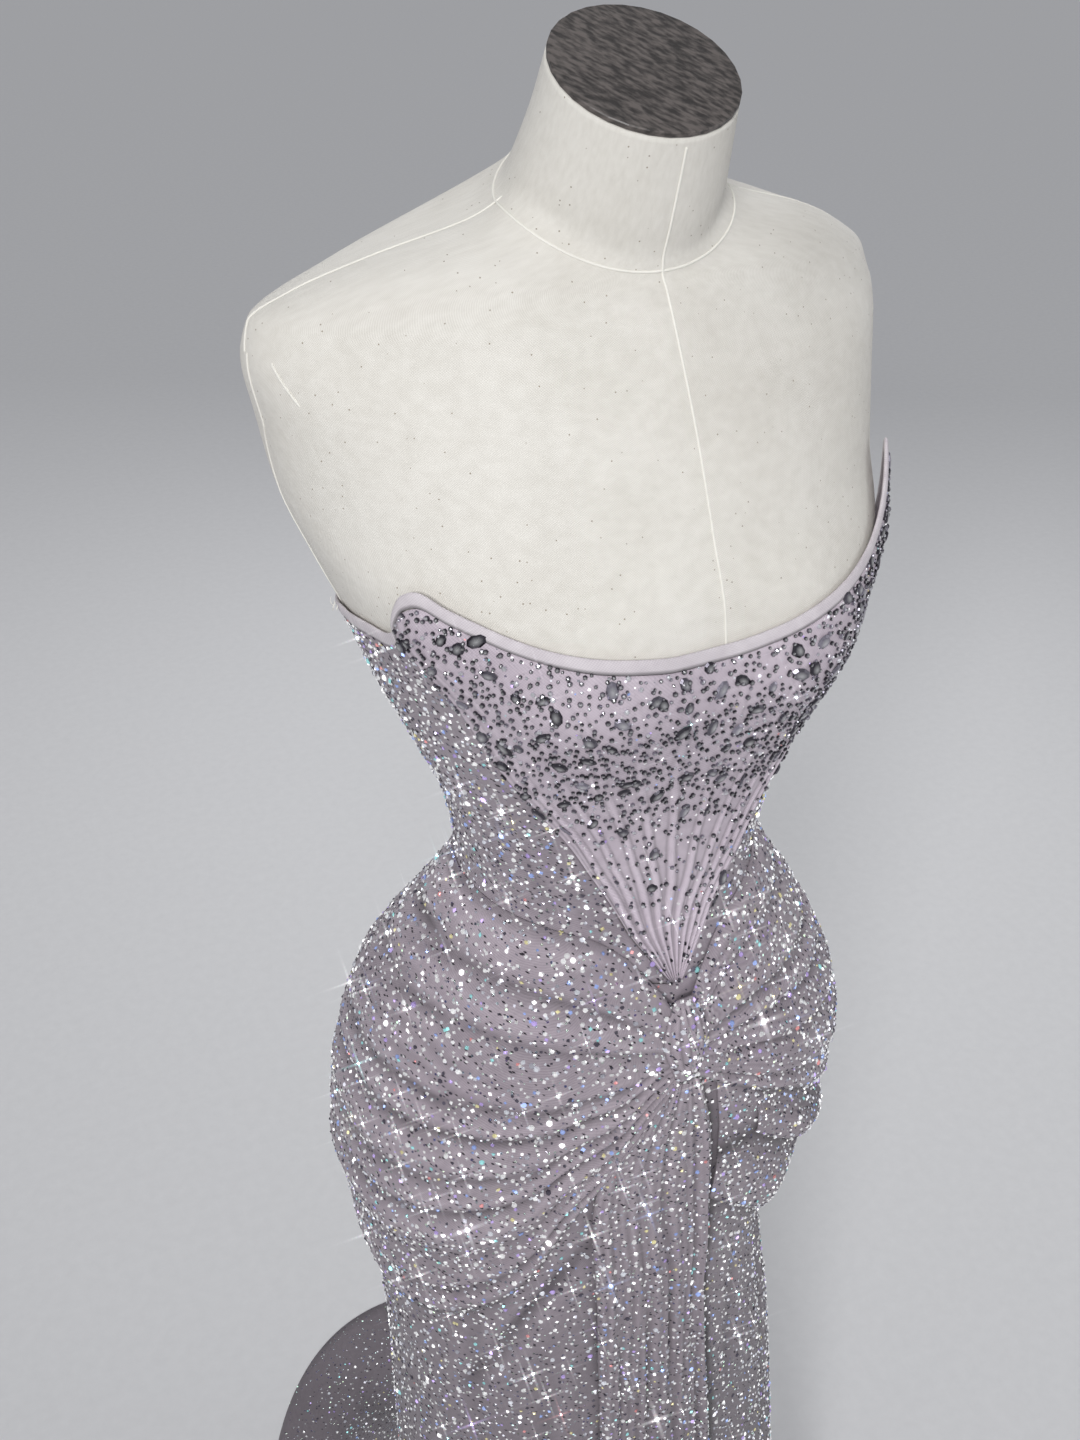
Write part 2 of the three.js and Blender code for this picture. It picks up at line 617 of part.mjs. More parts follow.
function makeBindings() {
  const steps = (from, to, count) => Array.from({ length: count + 1 }, (_, k) => mix(from, to, k / count));
  const away = [
    ...steps(FRONT_NOTCH, SIDE_SEAM, SIDE_COLUMNS),
    ...steps(SIDE_SEAM, 180, BACK_COLUMNS).slice(1),
  ];
  return [
    makeBinding('binding_front', frontTopAngles, [SEAM_GAP, SEAM_GAP]),
    makeBinding('binding_back_left', away, [SEAM_GAP, ZIP_HALF_GAP]),
    makeBinding('binding_back_right', away.map((angle) => -angle).reverse(), [ZIP_HALF_GAP, SEAM_GAP]),
  ];
}

// The skirt

// Levels of the skirt's rows: even steps from the waist seam to the hip, then the named levels down to the hem.
const HIP_STEPS = 8;
const FRONT_COLUMNS = 32;
const TRAIN_COLUMNS = 8;
const SKIRT_ROW_COUNT = HIP_STEPS + SKIRT_LEVELS.length - 1;

function skirtLevel(angle, row) {
  if (row >= HIP_STEPS) return SKIRT_LEVELS[row - HIP_STEPS];
  return mix(waistSeam(Math.abs(angle)) - WAIST_GAP, SKIRT_LEVELS[0], row / HIP_STEPS);
}

// The hem is cut level, and the train's underside lies flat on the floor.
function skirtPair(angle, level, isHem) {
  const pair = clothPair(angle, level);
  pair.inner.z = isHem ? 0 : Math.max(pair.inner.z, 0);
  if (isHem) pair.outer.z = CLOTH_WALL * hangNormal(angle, level).z ** 2;
  return pair;
}

function makeSkirtPanel(name, columns, edges) {
  return clothWall(name, crystalCloth, columns, SKIRT_ROW_COUNT, (i, j) => {
    const row = SKIRT_ROW_COUNT - j;
    const rough = mix(edges.low, edges.high, i / columns);
    const level = skirtLevel(rough, row);
    const low = edges.low + gapAngle(edges.low, level, edges.lowGap(level));
    const high = edges.high - gapAngle(edges.high, level, edges.highGap(level));
    return skirtPair(mix(low, high, i / columns), level, row === SKIRT_ROW_COUNT);
  });
}

function makeSkirt() {
  const seamGap = () => SEAM_GAP / 2;
  return [
    makeSkirtPanel('skirt_front', FRONT_COLUMNS, {
      low: -SIDE_SEAM, high: SIDE_SEAM, lowGap: seamGap, highGap: seamGap,
    }),
    makeSkirtPanel('skirt_back_left', TRAIN_COLUMNS, {
      low: SIDE_SEAM, high: 180, lowGap: seamGap, highGap: backHalfGap,
    }),
    makeSkirtPanel('skirt_back_right', TRAIN_COLUMNS, {
      low: -180, high: -SIDE_SEAM, lowGap: backHalfGap, highGap: seamGap,
    }),
  ];
}

// The drapes

// Near the knot, and along its lower edge, the drape rides over the pieces that lie under it.
const RIDE = { out: 3.4, knotEnd: 0.12, lowFrom: 0.5, lowTo: 0.8, middleFrom: 0.45, middleTo: 0.7 };
// A drape's ends: its least angle at the knot, the angle it stops short of the side seam, and where its tucks start
// and end along it.
const DRAPE_ENDS = { knot: 1.2, seam: 0.5, tuckFrom: 0.04, tuckFull: 0.16, tuckFade: 0.85 };

// A drape that fans out from the knot to the side seam. Its tucks run from end to end, one crest for each.
function makeDrape({ name, side, top, low, tucks, depth, columns, standOff }) {
  const rows = tucks * 2;
  const topLine = trackOf(top);
  const lowLine = trackOf(low);
  const first = low[0][0];
  return clothWall(name, drapeCloth, columns, rows, (i, j) => {
    const along = side < 0 ? 1 - i / columns : i / columns;
    const down = 1 - j / rows;
    const away = mix(Math.max(first, DRAPE_ENDS.knot), SIDE_SEAM - DRAPE_ENDS.seam, along);
    const level = mix(topLine(away), lowLine(away), down);
    const lift = standOff(away, level, along, down);
    const isCrest = j % 2 === 1;
    const edge = (1 - smooth(along, DRAPE_ENDS.tuckFade, 1))
      * smooth(along, DRAPE_ENDS.tuckFrom, DRAPE_ENDS.tuckFull);
    const raised = isCrest ? depth * edge : 0;
    return {
      outer: laid(side * away, level, DRAPE_INSIDE + DRAPE_WALL + lift + raised),
      inner: laid(side * away, level, DRAPE_INSIDE + lift),
    };
  });
}

function rideOver(along, down) {
  return RIDE.out * Math.max(1 - smooth(along, 0, RIDE.knotEnd), smooth(down, RIDE.lowFrom, RIDE.lowTo));
}

function makeDrapes() {
  const upperOff = trackOf(UPPER_STAND_OFF);
  const middleOff = trackOf(MIDDLE_STAND_OFF);
  const lowerOff = trackOf(LOWER_STAND_OFF);
  const upperLow = trackOf(UPPER_LOW);
  const middleLow = trackOf(MIDDLE_LOW);
  const shown = (away, from) => smooth(away, from, from + CASCADE.rise)
    * mix(1, CASCADE.behind, smooth(away, CASCADE.sideOn, SIDE_SEAM));
  const tucked = (line, low) => low.map(([away]) => [away, line(away) + CASCADE.tucked]);
  return [
    makeDrape({
      name: 'skirt_drape_right', side: -1, top: RIGHT_DRAPE_TOP, low: RIGHT_DRAPE_LOW,
      tucks: 8, depth: 2.6, columns: 16,
      standOff: (away, level, along, down) => rideOver(along, down),
    }),
    makeDrape({
      name: 'cascade_upper', side: 1, top: CASCADE_TOP, low: UPPER_LOW,
      tucks: 4, depth: 1.8, columns: 14,
      standOff: (away, level, along, down) => Math.max(
        upperOff(level) * shown(away, CASCADE.upperFrom),
        rideOver(along, down),
      ),
    }),
    makeDrape({
      name: 'cascade_middle', side: 1, top: tucked(upperLow, MIDDLE_LOW), low: MIDDLE_LOW,
      tucks: 2, depth: 0, columns: 11,
      standOff: (away, level, along, down) => Math.max(
        middleOff(down) * shown(away, CASCADE.lowerFrom),
        RIDE.out * smooth(down, RIDE.middleFrom, RIDE.middleTo),
      ),
    }),
    makeDrape({
      name: 'cascade_lower', side: 1, top: tucked(middleLow, LOWER_LOW), low: LOWER_LOW,
      tucks: 2, depth: 0, columns: 11,
      standOff: (away, level, along, down) => lowerOff(down) * shown(away, CASCADE.lowerFrom),
    }),
  ];
}

// The pleated panel that hangs from the knot down the front, and the knot that gathers it.
const TAIL = {
  top: 947, foot: 22, pleats: 5, depth: 3.2, wall: 1.8, gapTop: 0.8, gapFoot: 2.4, fadeFrom: 0.8, fadeTo: 0.97,
};
const TAIL_TOP_LEVELS = [903, 927];
const TAIL_COLUMNS = ['height', 'right', 'left'];
const TAIL_ROWS = [[0, -12, 22], [500, -13, 17], [729, -15, 12.5], [831, -16, 8.8], [910, -13, 7], [947, -6, 5]];
const KNOT = {
  height: 984, halfWidth: 13, halfHeight: 30, depth: 6, folds: 4, foldDepth: 1.2, taper: 0.55, rows: 6, out: 10.6,
};

// A point of the front skirt's outer face between two of its columns.
function skirtFacePoint(angle, level) {
  const step = (2 * SIDE_SEAM) / FRONT_COLUMNS;
  const low = Math.floor((angle + SIDE_SEAM) / step) * step - SIDE_SEAM;
  const at = (column) => laid(column, level, CLOTH_INSIDE + CLOTH_WALL);
  return at(low).lerp(at(low + step), (angle - low) / step);
}

function makeTail() {
  const columns = TAIL.pleats * 2;
  const table = columnsOf(TAIL_COLUMNS, TAIL_ROWS);
  const right = track(table.height, table.right);
  const left = track(table.height, table.left);
  const levels = [
    ...SKIRT_LEVELS.filter((level) => level >= TAIL.foot).reverse(),
    ...TAIL_TOP_LEVELS,
    TAIL.top,
  ];
  const rows = levels.length - 1;
  return clothWall('front_tail', drapeCloth, columns, rows, (i, j) => {
    const level = levels[j];
    const up = (level - TAIL.foot) / (TAIL.top - TAIL.foot);
    const angle = mix(right(level), left(level), i / columns);
    const raised = i % 2 === 1 ? TAIL.depth * (1 - smooth(up, TAIL.fadeFrom, TAIL.fadeTo)) : 0;
    const normal = hangNormal(angle, level);
    const inner = skirtFacePoint(angle, level).addScaledVector(normal, mix(TAIL.gapFoot, TAIL.gapTop, up));
    return { outer: inner.clone().addScaledVector(normal, TAIL.wall + raised), inner };
  });
}

// A small gather that lies on the drapes' ends, with folds that run down it.
function makeKnot() {
  const columns = KNOT.folds * 2;
  return clothWall('drape_knot', drapeCloth, columns, KNOT.rows, (i, j) => {
    const a = mix(-1, 1, i / columns);
    const b = mix(-1, 1, j / KNOT.rows);
    const width = KNOT.halfWidth * (1 - KNOT.taper * b * b);
    const level = KNOT.height + b * KNOT.halfHeight;
    const angle = a * gapAngle(0, level, width);
    const crown = (1 - a * a) * (1 - b ** 4);
    const fold = i % 2 === 1 ? KNOT.foldDepth : 0;
    return {
      outer: laid(angle, level, KNOT.out + CLOTH_WALL + KNOT.depth * crown + fold * (1 - b ** 4)),
      inner: laid(angle, level, KNOT.out),
    };
  });
}

// The zip at the centre back

const ZIP = {
  foot: ZIP_FOOT + 14, top: 1236, half: 1.3, low: 1.6, high: 3.1, sliderHeight: 9, sliderHalf: 2.6, sliderDepth: 2.2,
};
const PULL = {
  pin: 0.6, bore: 0.68, barrel: 1.5, half: 1.2, earHalf: 0.6, earGap: 0.1, length: 17, width: 5, thickness: 1,
};

function makeZipChain() {
  const rows = 14;
  return clothWall('zip_chain', zipMetal, 1, rows, (i, j) => {
    const level = mix(ZIP.foot, ZIP.top, j / rows);
    const half = gapAngle(180, level, ZIP.half);
    const angle = 180 + (i === 0 ? -half : half);
    return { outer: laid(angle, level, ZIP.high), inner: laid(angle, level, ZIP.low) };
  });
}

// The slider rests on the chain's top end; its two ears hold the pin of the pull tab.
const sliderBack = laid(180, ZIP.top, CLOTH_INSIDE + CLOTH_WALL).y + SEAM_GAP;
const pinCentre = new THREE.Vector3(
  0,
  sliderBack + ZIP.sliderDepth + PULL.barrel + SEAM_GAP,
  ZIP.top - ZIP.sliderHeight / 2,
);

function barAcross(radius, from, to, sides) {
  const bar = new THREE.CylinderGeometry(radius, radius, to - from, sides);
  bar.rotateZ(Math.PI / 2);
  bar.translate((from + to) / 2, pinCentre.y, pinCentre.z);
  return bar;
}

function makeZipSlider() {
  const body = new THREE.BoxGeometry(2 * ZIP.sliderHalf, ZIP.sliderDepth, ZIP.sliderHeight);
  body.translate(0, sliderBack + ZIP.sliderDepth / 2, ZIP.top - ZIP.sliderHeight / 2);
  const earMiddle = PULL.half + PULL.earGap + PULL.earHalf;
  const ears = [-1, 1].map((side) => {
    const reach = ZIP.sliderDepth + SEAM_GAP + 1.8 * PULL.barrel;
    const ear = new THREE.BoxGeometry(2 * PULL.earHalf, reach, 2 * PULL.barrel);
    ear.translate(side * earMiddle, sliderBack + reach / 2, pinCentre.z);
    return solidOf(ear);
  });
  const pin = solidOf(barAcross(PULL.pin, -earMiddle, earMiddle, 16));
  return meshOfSolid('zip_slider', zipMetal, solidOf(body).add(ears[0]).add(ears[1]).add(pin));
}

// A drop-shaped tab that hangs from a barrel round the slider's pin.
function makePullTab() {
  const barrel = solidOf(barAcross(PULL.barrel, -PULL.half, PULL.half, 20));
  const bore = solidOf(barAcross(PULL.bore, -2 * PULL.half, 2 * PULL.half, 16));
  const outline = new THREE.Shape();
  outline.moveTo(-PULL.half, -0.8 * PULL.barrel);
  outline.lineTo(-PULL.half, -PULL.barrel - 1);
  outline.lineTo(-PULL.width / 2, -PULL.length + PULL.width / 2);
  outline.absarc(0, -PULL.length + PULL.width / 2, PULL.width / 2, Math.PI, 2 * Math.PI, false);
  outline.lineTo(PULL.half, -PULL.barrel - 1);
  outline.lineTo(PULL.half, -0.8 * PULL.barrel);
  const leaf = new THREE.ExtrudeGeometry(outline, { depth: PULL.thickness, bevelEnabled: false, curveSegments: 6 });
  leaf.rotateX(Math.PI / 2);
  leaf.translate(0, pinCentre.y + PULL.thickness / 2, pinCentre.z);
  return meshOfSolid('zip_pull_tab', zipMetal, barrel.add(solidOf(leaf)).subtract(bore));
}

// The whole object

const gown = new THREE.Group();
gown.add(
  makeForm(),
  makeNeckCap(),
  makeBottomPlate(),
  makePole(),
  makeBase(),
  makeFrontCentre(),
  makeSidePanel('bodice_side_right', -1),
  makeSidePanel('bodice_side_left', 1),
  makeBackPanel('bodice_back_right', -1),
  makeBackPanel('bodice_back_left', 1),
  ...makeBindings(),
  ...makeSkirt(),
  ...makeDrapes(),
  makeTail(),
  makeKnot(),
  makeZipChain(),
  makeZipSlider(),
  makePullTab(),
);

export default gown;
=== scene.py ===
"""A strapless crystal evening gown on a limbless dress form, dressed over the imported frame.

Shapes are worked out in millimetres, as the maker would measure them, and put into the meshes in metres.
The gown's surfaces are functions of an angle round the body, 0 at the centre front, and of a level above the
floor.
"""
import logging
import math
import sys
from dataclasses import dataclass, field
from enum import Enum
from functools import lru_cache
from typing import Callable, Dict, List, Optional, Sequence, Tuple

import bpy
import numpy as np
from mathutils import Matrix, Vector

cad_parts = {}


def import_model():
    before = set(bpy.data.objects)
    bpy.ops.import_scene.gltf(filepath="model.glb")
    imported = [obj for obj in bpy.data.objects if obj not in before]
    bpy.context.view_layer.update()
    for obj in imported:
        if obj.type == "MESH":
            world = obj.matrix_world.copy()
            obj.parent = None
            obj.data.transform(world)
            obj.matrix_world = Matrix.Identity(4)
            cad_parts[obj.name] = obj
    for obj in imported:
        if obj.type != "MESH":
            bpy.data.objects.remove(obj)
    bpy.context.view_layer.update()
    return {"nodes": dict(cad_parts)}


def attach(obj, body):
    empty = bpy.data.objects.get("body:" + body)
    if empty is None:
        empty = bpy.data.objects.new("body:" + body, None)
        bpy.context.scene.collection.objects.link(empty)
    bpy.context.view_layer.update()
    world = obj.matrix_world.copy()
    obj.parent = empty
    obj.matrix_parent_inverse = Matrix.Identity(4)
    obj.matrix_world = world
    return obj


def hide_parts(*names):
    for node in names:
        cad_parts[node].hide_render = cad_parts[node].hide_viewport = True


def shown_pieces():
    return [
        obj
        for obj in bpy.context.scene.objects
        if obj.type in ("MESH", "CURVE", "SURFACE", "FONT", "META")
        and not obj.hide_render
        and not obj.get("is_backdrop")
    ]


LOG = logging.getLogger("gown")
Array = np.ndarray
Pair = Tuple[Array, Array]
Span = Tuple[float, float]
Triple = Tuple[float, float, float]
Colour = Tuple[float, float, float, float]
Rows = Tuple[Span, ...]
Piece = bpy.types.Object
Node = bpy.types.Node
Tree = bpy.types.NodeTree
Socket = bpy.types.NodeSocket
METRE = 0.001
GOWN_BODY = "gown_on_form"


# Curves


class Track:
    """A smooth curve through keys and values that never overshoots between them."""

    def __init__(self, keys: Sequence[float], values: Sequence[float]) -> None:
        """Works out the curve's slopes.

        Args:
            keys: rising positions.
            values: the value at each key.
        """
        self.keys = np.array(keys, float)
        self.values = np.array(values, float)
        slopes = np.diff(self.values) / np.diff(self.keys)
        before, after = slopes[:-1], slopes[1:]
        product = before * after
        total = np.where(np.abs(before + after) > 1e-12, before + after, 1.0)
        middle = np.where(product > 0, 2 * product / total, 0.0)
        self.tangents = np.concatenate([slopes[:1], middle, slopes[-1:]])

    def __call__(self, key: Array) -> Array:
        """Cubic Hermite value at each key, held constant past both ends.

        Args:
            key: positions along the curve.

        Returns:
            The value at each one.
        """
        at = np.clip(np.asarray(key, float), self.keys[0], self.keys[-1])
        i = np.clip(np.searchsorted(self.keys, at, side="left") - 1, 0, len(self.keys) - 2)
        span = self.keys[i + 1] - self.keys[i]
        t = (at - self.keys[i]) / span
        s = 1 - t
        return (
            (1 + 2 * t) * s * s * self.values[i]
            + t * s * s * span * self.tangents[i]
            + t * t * (3 - 2 * t) * self.values[i + 1]
            - t * t * s * span * self.tangents[i + 1]
        )


def track_of(rows: Sequence[Span]) -> Track:
    """A curve through rows of (key, value)."""
    return Track([row[0] for row in rows], [row[1] for row in rows])


def smooth(x: Array, low: float, high: float) -> Array:
    """0 below low, 1 above high, and a smooth rise between them."""
    t = np.clip((np.asarray(x, float) - low) / (high - low), 0, 1)
    return t * t * (3 - 2 * t)


def mix(a: Array, b: Array, t: Array) -> Array:
    """The value a share t of the way from a to b."""
    return a + (b - a) * t


def shares(columns: int, rows: int, start: float = 0) -> Pair:
    """Grids of the places across, from start to 1, and up, from 0 to 1."""
    return np.meshgrid(np.linspace(start, 1, columns), np.linspace(0, 1, rows))


def hump(x: Array, middle: float, spread: float) -> Array:
    """A bell of height 1."""
    return np.exp(-(((np.asarray(x, float) - middle) / spread) ** 2))


# The body surfaces


@dataclass
class Rings:
    """Tables of the body's rings, and the surfaces that run through them.

    A ring is four quarter rounds with their own widths, depths and powers. x = width * sin ** (2 / power),
    y = wide + (depth - wide) * cos ** (2 / power), and the height dips to the front and back.
    """

    form_rows: Tuple[Tuple[float, ...], ...] = (
        (800, 800, 800, 154, -78, 111, 9, 2.3, 2.3),
        (806, 806, 806, 161, -86, 118, 9, 2.3, 2.3),
        (840, 840, 840, 172, -101, 126, 9, 2.3, 2.3),
        (880, 880, 880, 176, -109, 130, 9, 2.25, 2.35),
        (930, 930, 930, 166, -112, 127, 14, 2.05, 2.4),
        (980, 980, 980, 150, -109, 118, 14, 1.95, 2.3),
        (1030, 1030, 1030, 121, -99, 92, 4, 2.0, 2.1),
        (1080, 1080, 1080, 95, -92, 72, -6, 2.1, 2.05),
        (1125, 1125, 1125, 101, -97, 80, -9, 2.2, 2.15),
        (1170, 1170, 1170, 118, -107, 95, -4, 2.15, 2.3),
        (1210, 1210, 1210, 135, -118, 104, 3, 2.1, 2.5),
        (1250, 1250, 1250, 149, -127, 110, 9, 2.2, 2.75),
        (1290, 1290, 1290, 165, -125, 114, 20, 2.3, 2.95),
        (1330, 1330, 1330, 179, -111, 116, 34, 2.0, 3.0),
        (1370, 1372, 1380, 187, -94, 114, 39, 1.9, 2.9),
        (1398, 1405, 1420, 193, -80, 104, 41, 1.75, 2.45),
        (1418, 1425, 1448, 189, -69, 92, 42, 1.65, 2.0),
        (1432, 1440, 1466, 167, -61, 81, 34, 1.75, 1.8),
        (1442, 1456, 1482, 130, -55, 68, 20, 1.9, 1.8),
        (1450, 1474, 1496, 74, -50, 58, 6, 2.0, 2.0),
        (1456, 1486, 1504, 59, -50, 50, 2, 2.0, 2.0),
        (1472, 1500, 1516, 56, -55, 41, -6, 2.0, 2.0),
        (1496, 1520, 1538, 52, -62, 29, -16, 2.0, 2.0),
    )
    skirt_rows: Tuple[Tuple[float, ...], ...] = (
        (0, 0, -1.4, 262, 288, -198, 510, 26, 2.1),
        (22, 22, -1.4, 244, 272, -188, 425, 24, 2.1),
        (62, 62, 46, 222, 254, -174, 350, 20, 2.15),
        (125, 125, 128, 196, 230, -155, 275, 16, 2.2),
        (205, 205, 212, 173, 207, -135, 218, 13, 2.25),
        (300, 300, 304, 157, 191, -118, 172, 10, 2.3),
        (407, 407, 407, 150, 181, -108, 143, 9, 2.3),
        (533, 533, 533, 152, 166, -104, 133, 9, 2.3),
        (598, 598, 598, 152, 156, -104, 132, 9, 2.3),
        (660, 660, 660, 155, 144, -104, 132, 9, 2.3),
        (729, 729, 729, 160, 134, -106, 132, 9, 2.3),
        (780, 780, 780, 166, 155, -107, 132, 9, 2.3),
        (815, 815, 815, 171, 166, -107, 131, 9, 2.3),
        (845, 845, 845, 175, 173, -108, 131, 9, 2.3),
    )
    cap_radius: float = 49
    cap_forward: float = 26
    cap_height: float = 1543
    cap_thickness: float = 3
    cap_tilt: float = math.radians(27.6)
    seam_gap: float = 0.3
    bust_out: float = 13
    bust_ease: float = 0.9
    bust_spread: float = 40
    bust_side: float = 72
    bust_height: float = 1243
    shoulder_top: float = 1456
    upright_from: float = 1288
    upright_top: float = 1338
    upright_follow: float = 0.35
    points_out: float = 4
    points_angle: float = 58
    points_spread: float = 11
    points_rise: Span = (1233, 1280)
    points_kept: float = 0.2
    flute_out: float = 15
    flute_levels: Span = (60, 420)
    flute_waves: Tuple[Triple, ...] = ((9, 0.6, 34), (5, 0.4, -63))
    train_angles: Span = (95, 140)
    train_levels: Span = (22, 90)
    slope_turn: float = 0.4
    slope_rise: float = 1.5

    def __post_init__(self) -> None:
        """Turns the tables into curves over the side height."""
        drop = self.cap_thickness + self.seam_gap
        self.seat_y = -self.cap_forward + math.sin(self.cap_tilt) * drop
        self.seat_z = self.cap_height - math.cos(self.cap_tilt) * drop
        depth = self.cap_radius * math.cos(self.cap_tilt)
        rise = self.cap_radius * math.sin(self.cap_tilt)
        last = (
            self.seat_z - rise, self.seat_z, self.seat_z + rise, self.cap_radius,
            self.seat_y - depth, self.seat_y + depth, self.seat_y, 2.0, 2.0,
        )
        names = (
            "front", "side", "back", "half", "depth_front", "depth_back", "wide", "power_front", "power_back",
        )
        rows = [*self.form_rows, last]
        self.form = {name: Track([r[1] for r in rows], [r[k] for r in rows]) for k, name in enumerate(names)}
        rings = [r for r in self.form_rows if 880 <= r[1] < 1380]
        keys = [r[1] for r in self.skirt_rows] + [r[1] for r in rings]
        pairs = {
            "front": (0, 0), "side": (1, 1), "back": (2, 2), "right": (3, 3), "left": (4, 3),
            "depth_front": (5, 4), "depth_back": (6, 5),
            "wide": (7, 6), "power_front": (8, 7), "power_back": (8, 8),
        }
        self.hang = {
            name: Track(keys, [r[low] for r in self.skirt_rows] + [r[high] for r in rings])
            for name, (low, high) in pairs.items()
        }

    def ring_point(self, angle: Array, ring: Dict[str, Array], bust: float) -> Array:
        """Points of the rings.

        Args:
            angle: degrees round the ring from the centre front.
            ring: the ring's heights, widths, depths and powers at each angle.
            bust: how far the bust stands out.

        Returns:
            Points in millimetres, with x, y and z in the last axis.
        """
        turn = np.radians(angle)
        s, c = np.sin(turn), np.cos(turn)
        is_front = c > 0
        power = 2 / np.where(is_front, ring["power_front"], ring["power_back"])
        width = np.where(s > 0, ring["left"], ring["right"])
        depth = np.where(is_front, ring["depth_front"], ring["depth_back"])
        x = width * np.sign(s) * np.abs(s) ** power
        y = ring["wide"] + (depth - ring["wide"]) * np.abs(c) ** power
        slope = mix(2, 1, smooth(ring["side"], self.shoulder_top, self.seat_z))
        middle = np.where(is_front, ring["front"], ring["back"])
        z = ring["side"] + (middle - ring["side"]) * np.abs(c) ** slope
        lobes = sum(
            np.exp(-((x - side) ** 2 + (z - self.bust_height) ** 2) / (2 * self.bust_spread**2))
            for side in (self.bust_side, -self.bust_side)
        )
        return np.stack([x, np.where(is_front, y - bust * lobes, y), z], -1)

    def form_point(self, angle: Array, level: Array) -> Array:
        """Points of the form's skin.

        Args:
            angle: degrees round the body.
            level: side heights.

        Returns:
            Points in millimetres.
        """
        ring = {name: curve(level) for name, curve in self.form.items()}
        ring["right"] = ring["left"] = ring["half"]
        return self.ring_point(angle, ring, self.bust_out)

    def hang_point(self, angle: Array, level: Array) -> Array:
        """Points of the surface that the gown's cloth is laid on.

        Over the bust the bodice stands up straighter than the chest. Below the hip it swells into flutes: two
        waves round the skirt that deepen towards the hem and die out where the train lies on the floor.

        Args:
            angle: degrees round the body.
            level: side heights.

        Returns:
            Points in millimetres.
        """
        angle, level = np.broadcast_arrays(np.asarray(angle, float), np.asarray(level, float))
        above = self.upright_from + (level - self.upright_from) * self.upright_follow
        held = np.where(level > self.upright_from, above, level)
        own = ("front", "side", "back", "depth_back", "power_back")
        ring = {name: curve(level if name in own else held) for name, curve in self.hang.items()}
        point = self.ring_point(angle, ring, self.bust_out + self.bust_ease)
        away = np.abs(angle)
        stand = self.points_out * hump(away, self.points_angle, self.points_spread)
        stand = stand * smooth(level, *self.points_rise)
        stand = stand * mix(1, self.points_kept, smooth(level, self.upright_from, self.upright_top))
        wave = sum(
            share * np.cos(np.radians(count * angle + turn)) for count, share, turn in self.flute_waves
        )
        lying = smooth(away, *self.train_angles) * (1 - smooth(level, *self.train_levels))
        flute = self.flute_out * wave * (1 - smooth(level, *self.flute_levels)) * (1 - lying)
        flat = point[..., :2] - np.stack([np.zeros_like(level), self.hang["wide"](level)], -1)
        flat = flat / np.linalg.norm(flat, axis=-1, keepdims=True)
        point[..., :2] += flat * (stand + flute)[..., None]
        return point

    def hang_normal(self, angle: Array, level: Array) -> Array:
        """Outward normals of that surface.

        Args:
            angle: degrees round the body.
            level: side heights.

        Returns:
            Unit normals, from the slopes along the ring and up the cloth.
        """
        turn, rise = self.slope_turn, self.slope_rise
        along = self.hang_point(angle + turn, level) - self.hang_point(angle - turn, level)
        up = self.hang_point(angle, level + rise) - self.hang_point(angle, level - rise)
        normal = np.cross(along, up)
        return normal / np.linalg.norm(normal, axis=-1, keepdims=True)

    def laid(self, angle: Array, level: Array, out: Array) -> Array:
        """Points laid on that surface and moved out along its normals."""
        return self.hang_point(angle, level) + self.hang_normal(angle, level) * np.asarray(out)[..., None]

    def gap_angle(self, angle: Array, level: Array, gap: Array) -> Array:
        """The angle that a gap in millimetres takes up there."""
        reach = self.hang_point(angle + 0.5, level) - self.hang_point(angle - 0.5, level)
        return gap / np.linalg.norm(reach, axis=-1)


# Meshes


def linked(name: str, data: bpy.types.ID) -> Piece:
    """A new object in the scene."""
    made = bpy.data.objects.new(name, data)
    bpy.context.scene.collection.objects.link(made)
    return made


def mesh_piece(
    name: str, points: Array, faces: Array, finish: "Finish", uv: Optional[Array] = None,
    colour_and_painted_light: Optional[Array] = None, is_smooth: bool = True,
) -> Piece:
    """Puts whole arrays into a mesh object that rides on the gown.

    Args:
        name: the piece's name.
        points: (n, 3) places in millimetres.
        faces: (m, 3) or (m, 4) point numbers, turning left round the outward normal.
        finish: the finish it gets.
        uv: (n, 2) pattern coordinates in metres.
        colour_and_painted_light: (n, 4) colours kept with the points.
        is_smooth: whether the faces are shaded round.

    Returns:
        The new object.
    """
    mesh = bpy.data.meshes.new(name)
    corners = faces.ravel().astype(np.int32)
    mesh.vertices.add(len(points))
    mesh.vertices.foreach_set("co", (points * METRE).astype(np.float32).ravel())
    mesh.loops.add(len(corners))
    mesh.loops.foreach_set("vertex_index", corners)
    mesh.polygons.add(len(faces))
    mesh.polygons.foreach_set("loop_start", np.arange(len(faces), dtype=np.int32) * faces.shape[1])
    mesh.update(calc_edges=True)
    mesh.polygons.foreach_set("use_smooth", np.full(len(faces), is_smooth))
    if uv is not None:
        layer = mesh.uv_layers.new(name="UVMap")
        layer.data.foreach_set("uv", uv[corners].astype(np.float32).ravel())
    if colour_and_painted_light is not None:
        colours = mesh.color_attributes.new(name="colour_and_painted_light", type="FLOAT_COLOR", domain="POINT")
        colours.data.foreach_set("color", colour_and_painted_light.astype(np.float32).ravel())
    mesh.materials.append(finish.material())
    piece = linked(name, mesh)
    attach(piece, GOWN_BODY)
    LOG.info("%s: %d faces", name, len(faces))
    return piece


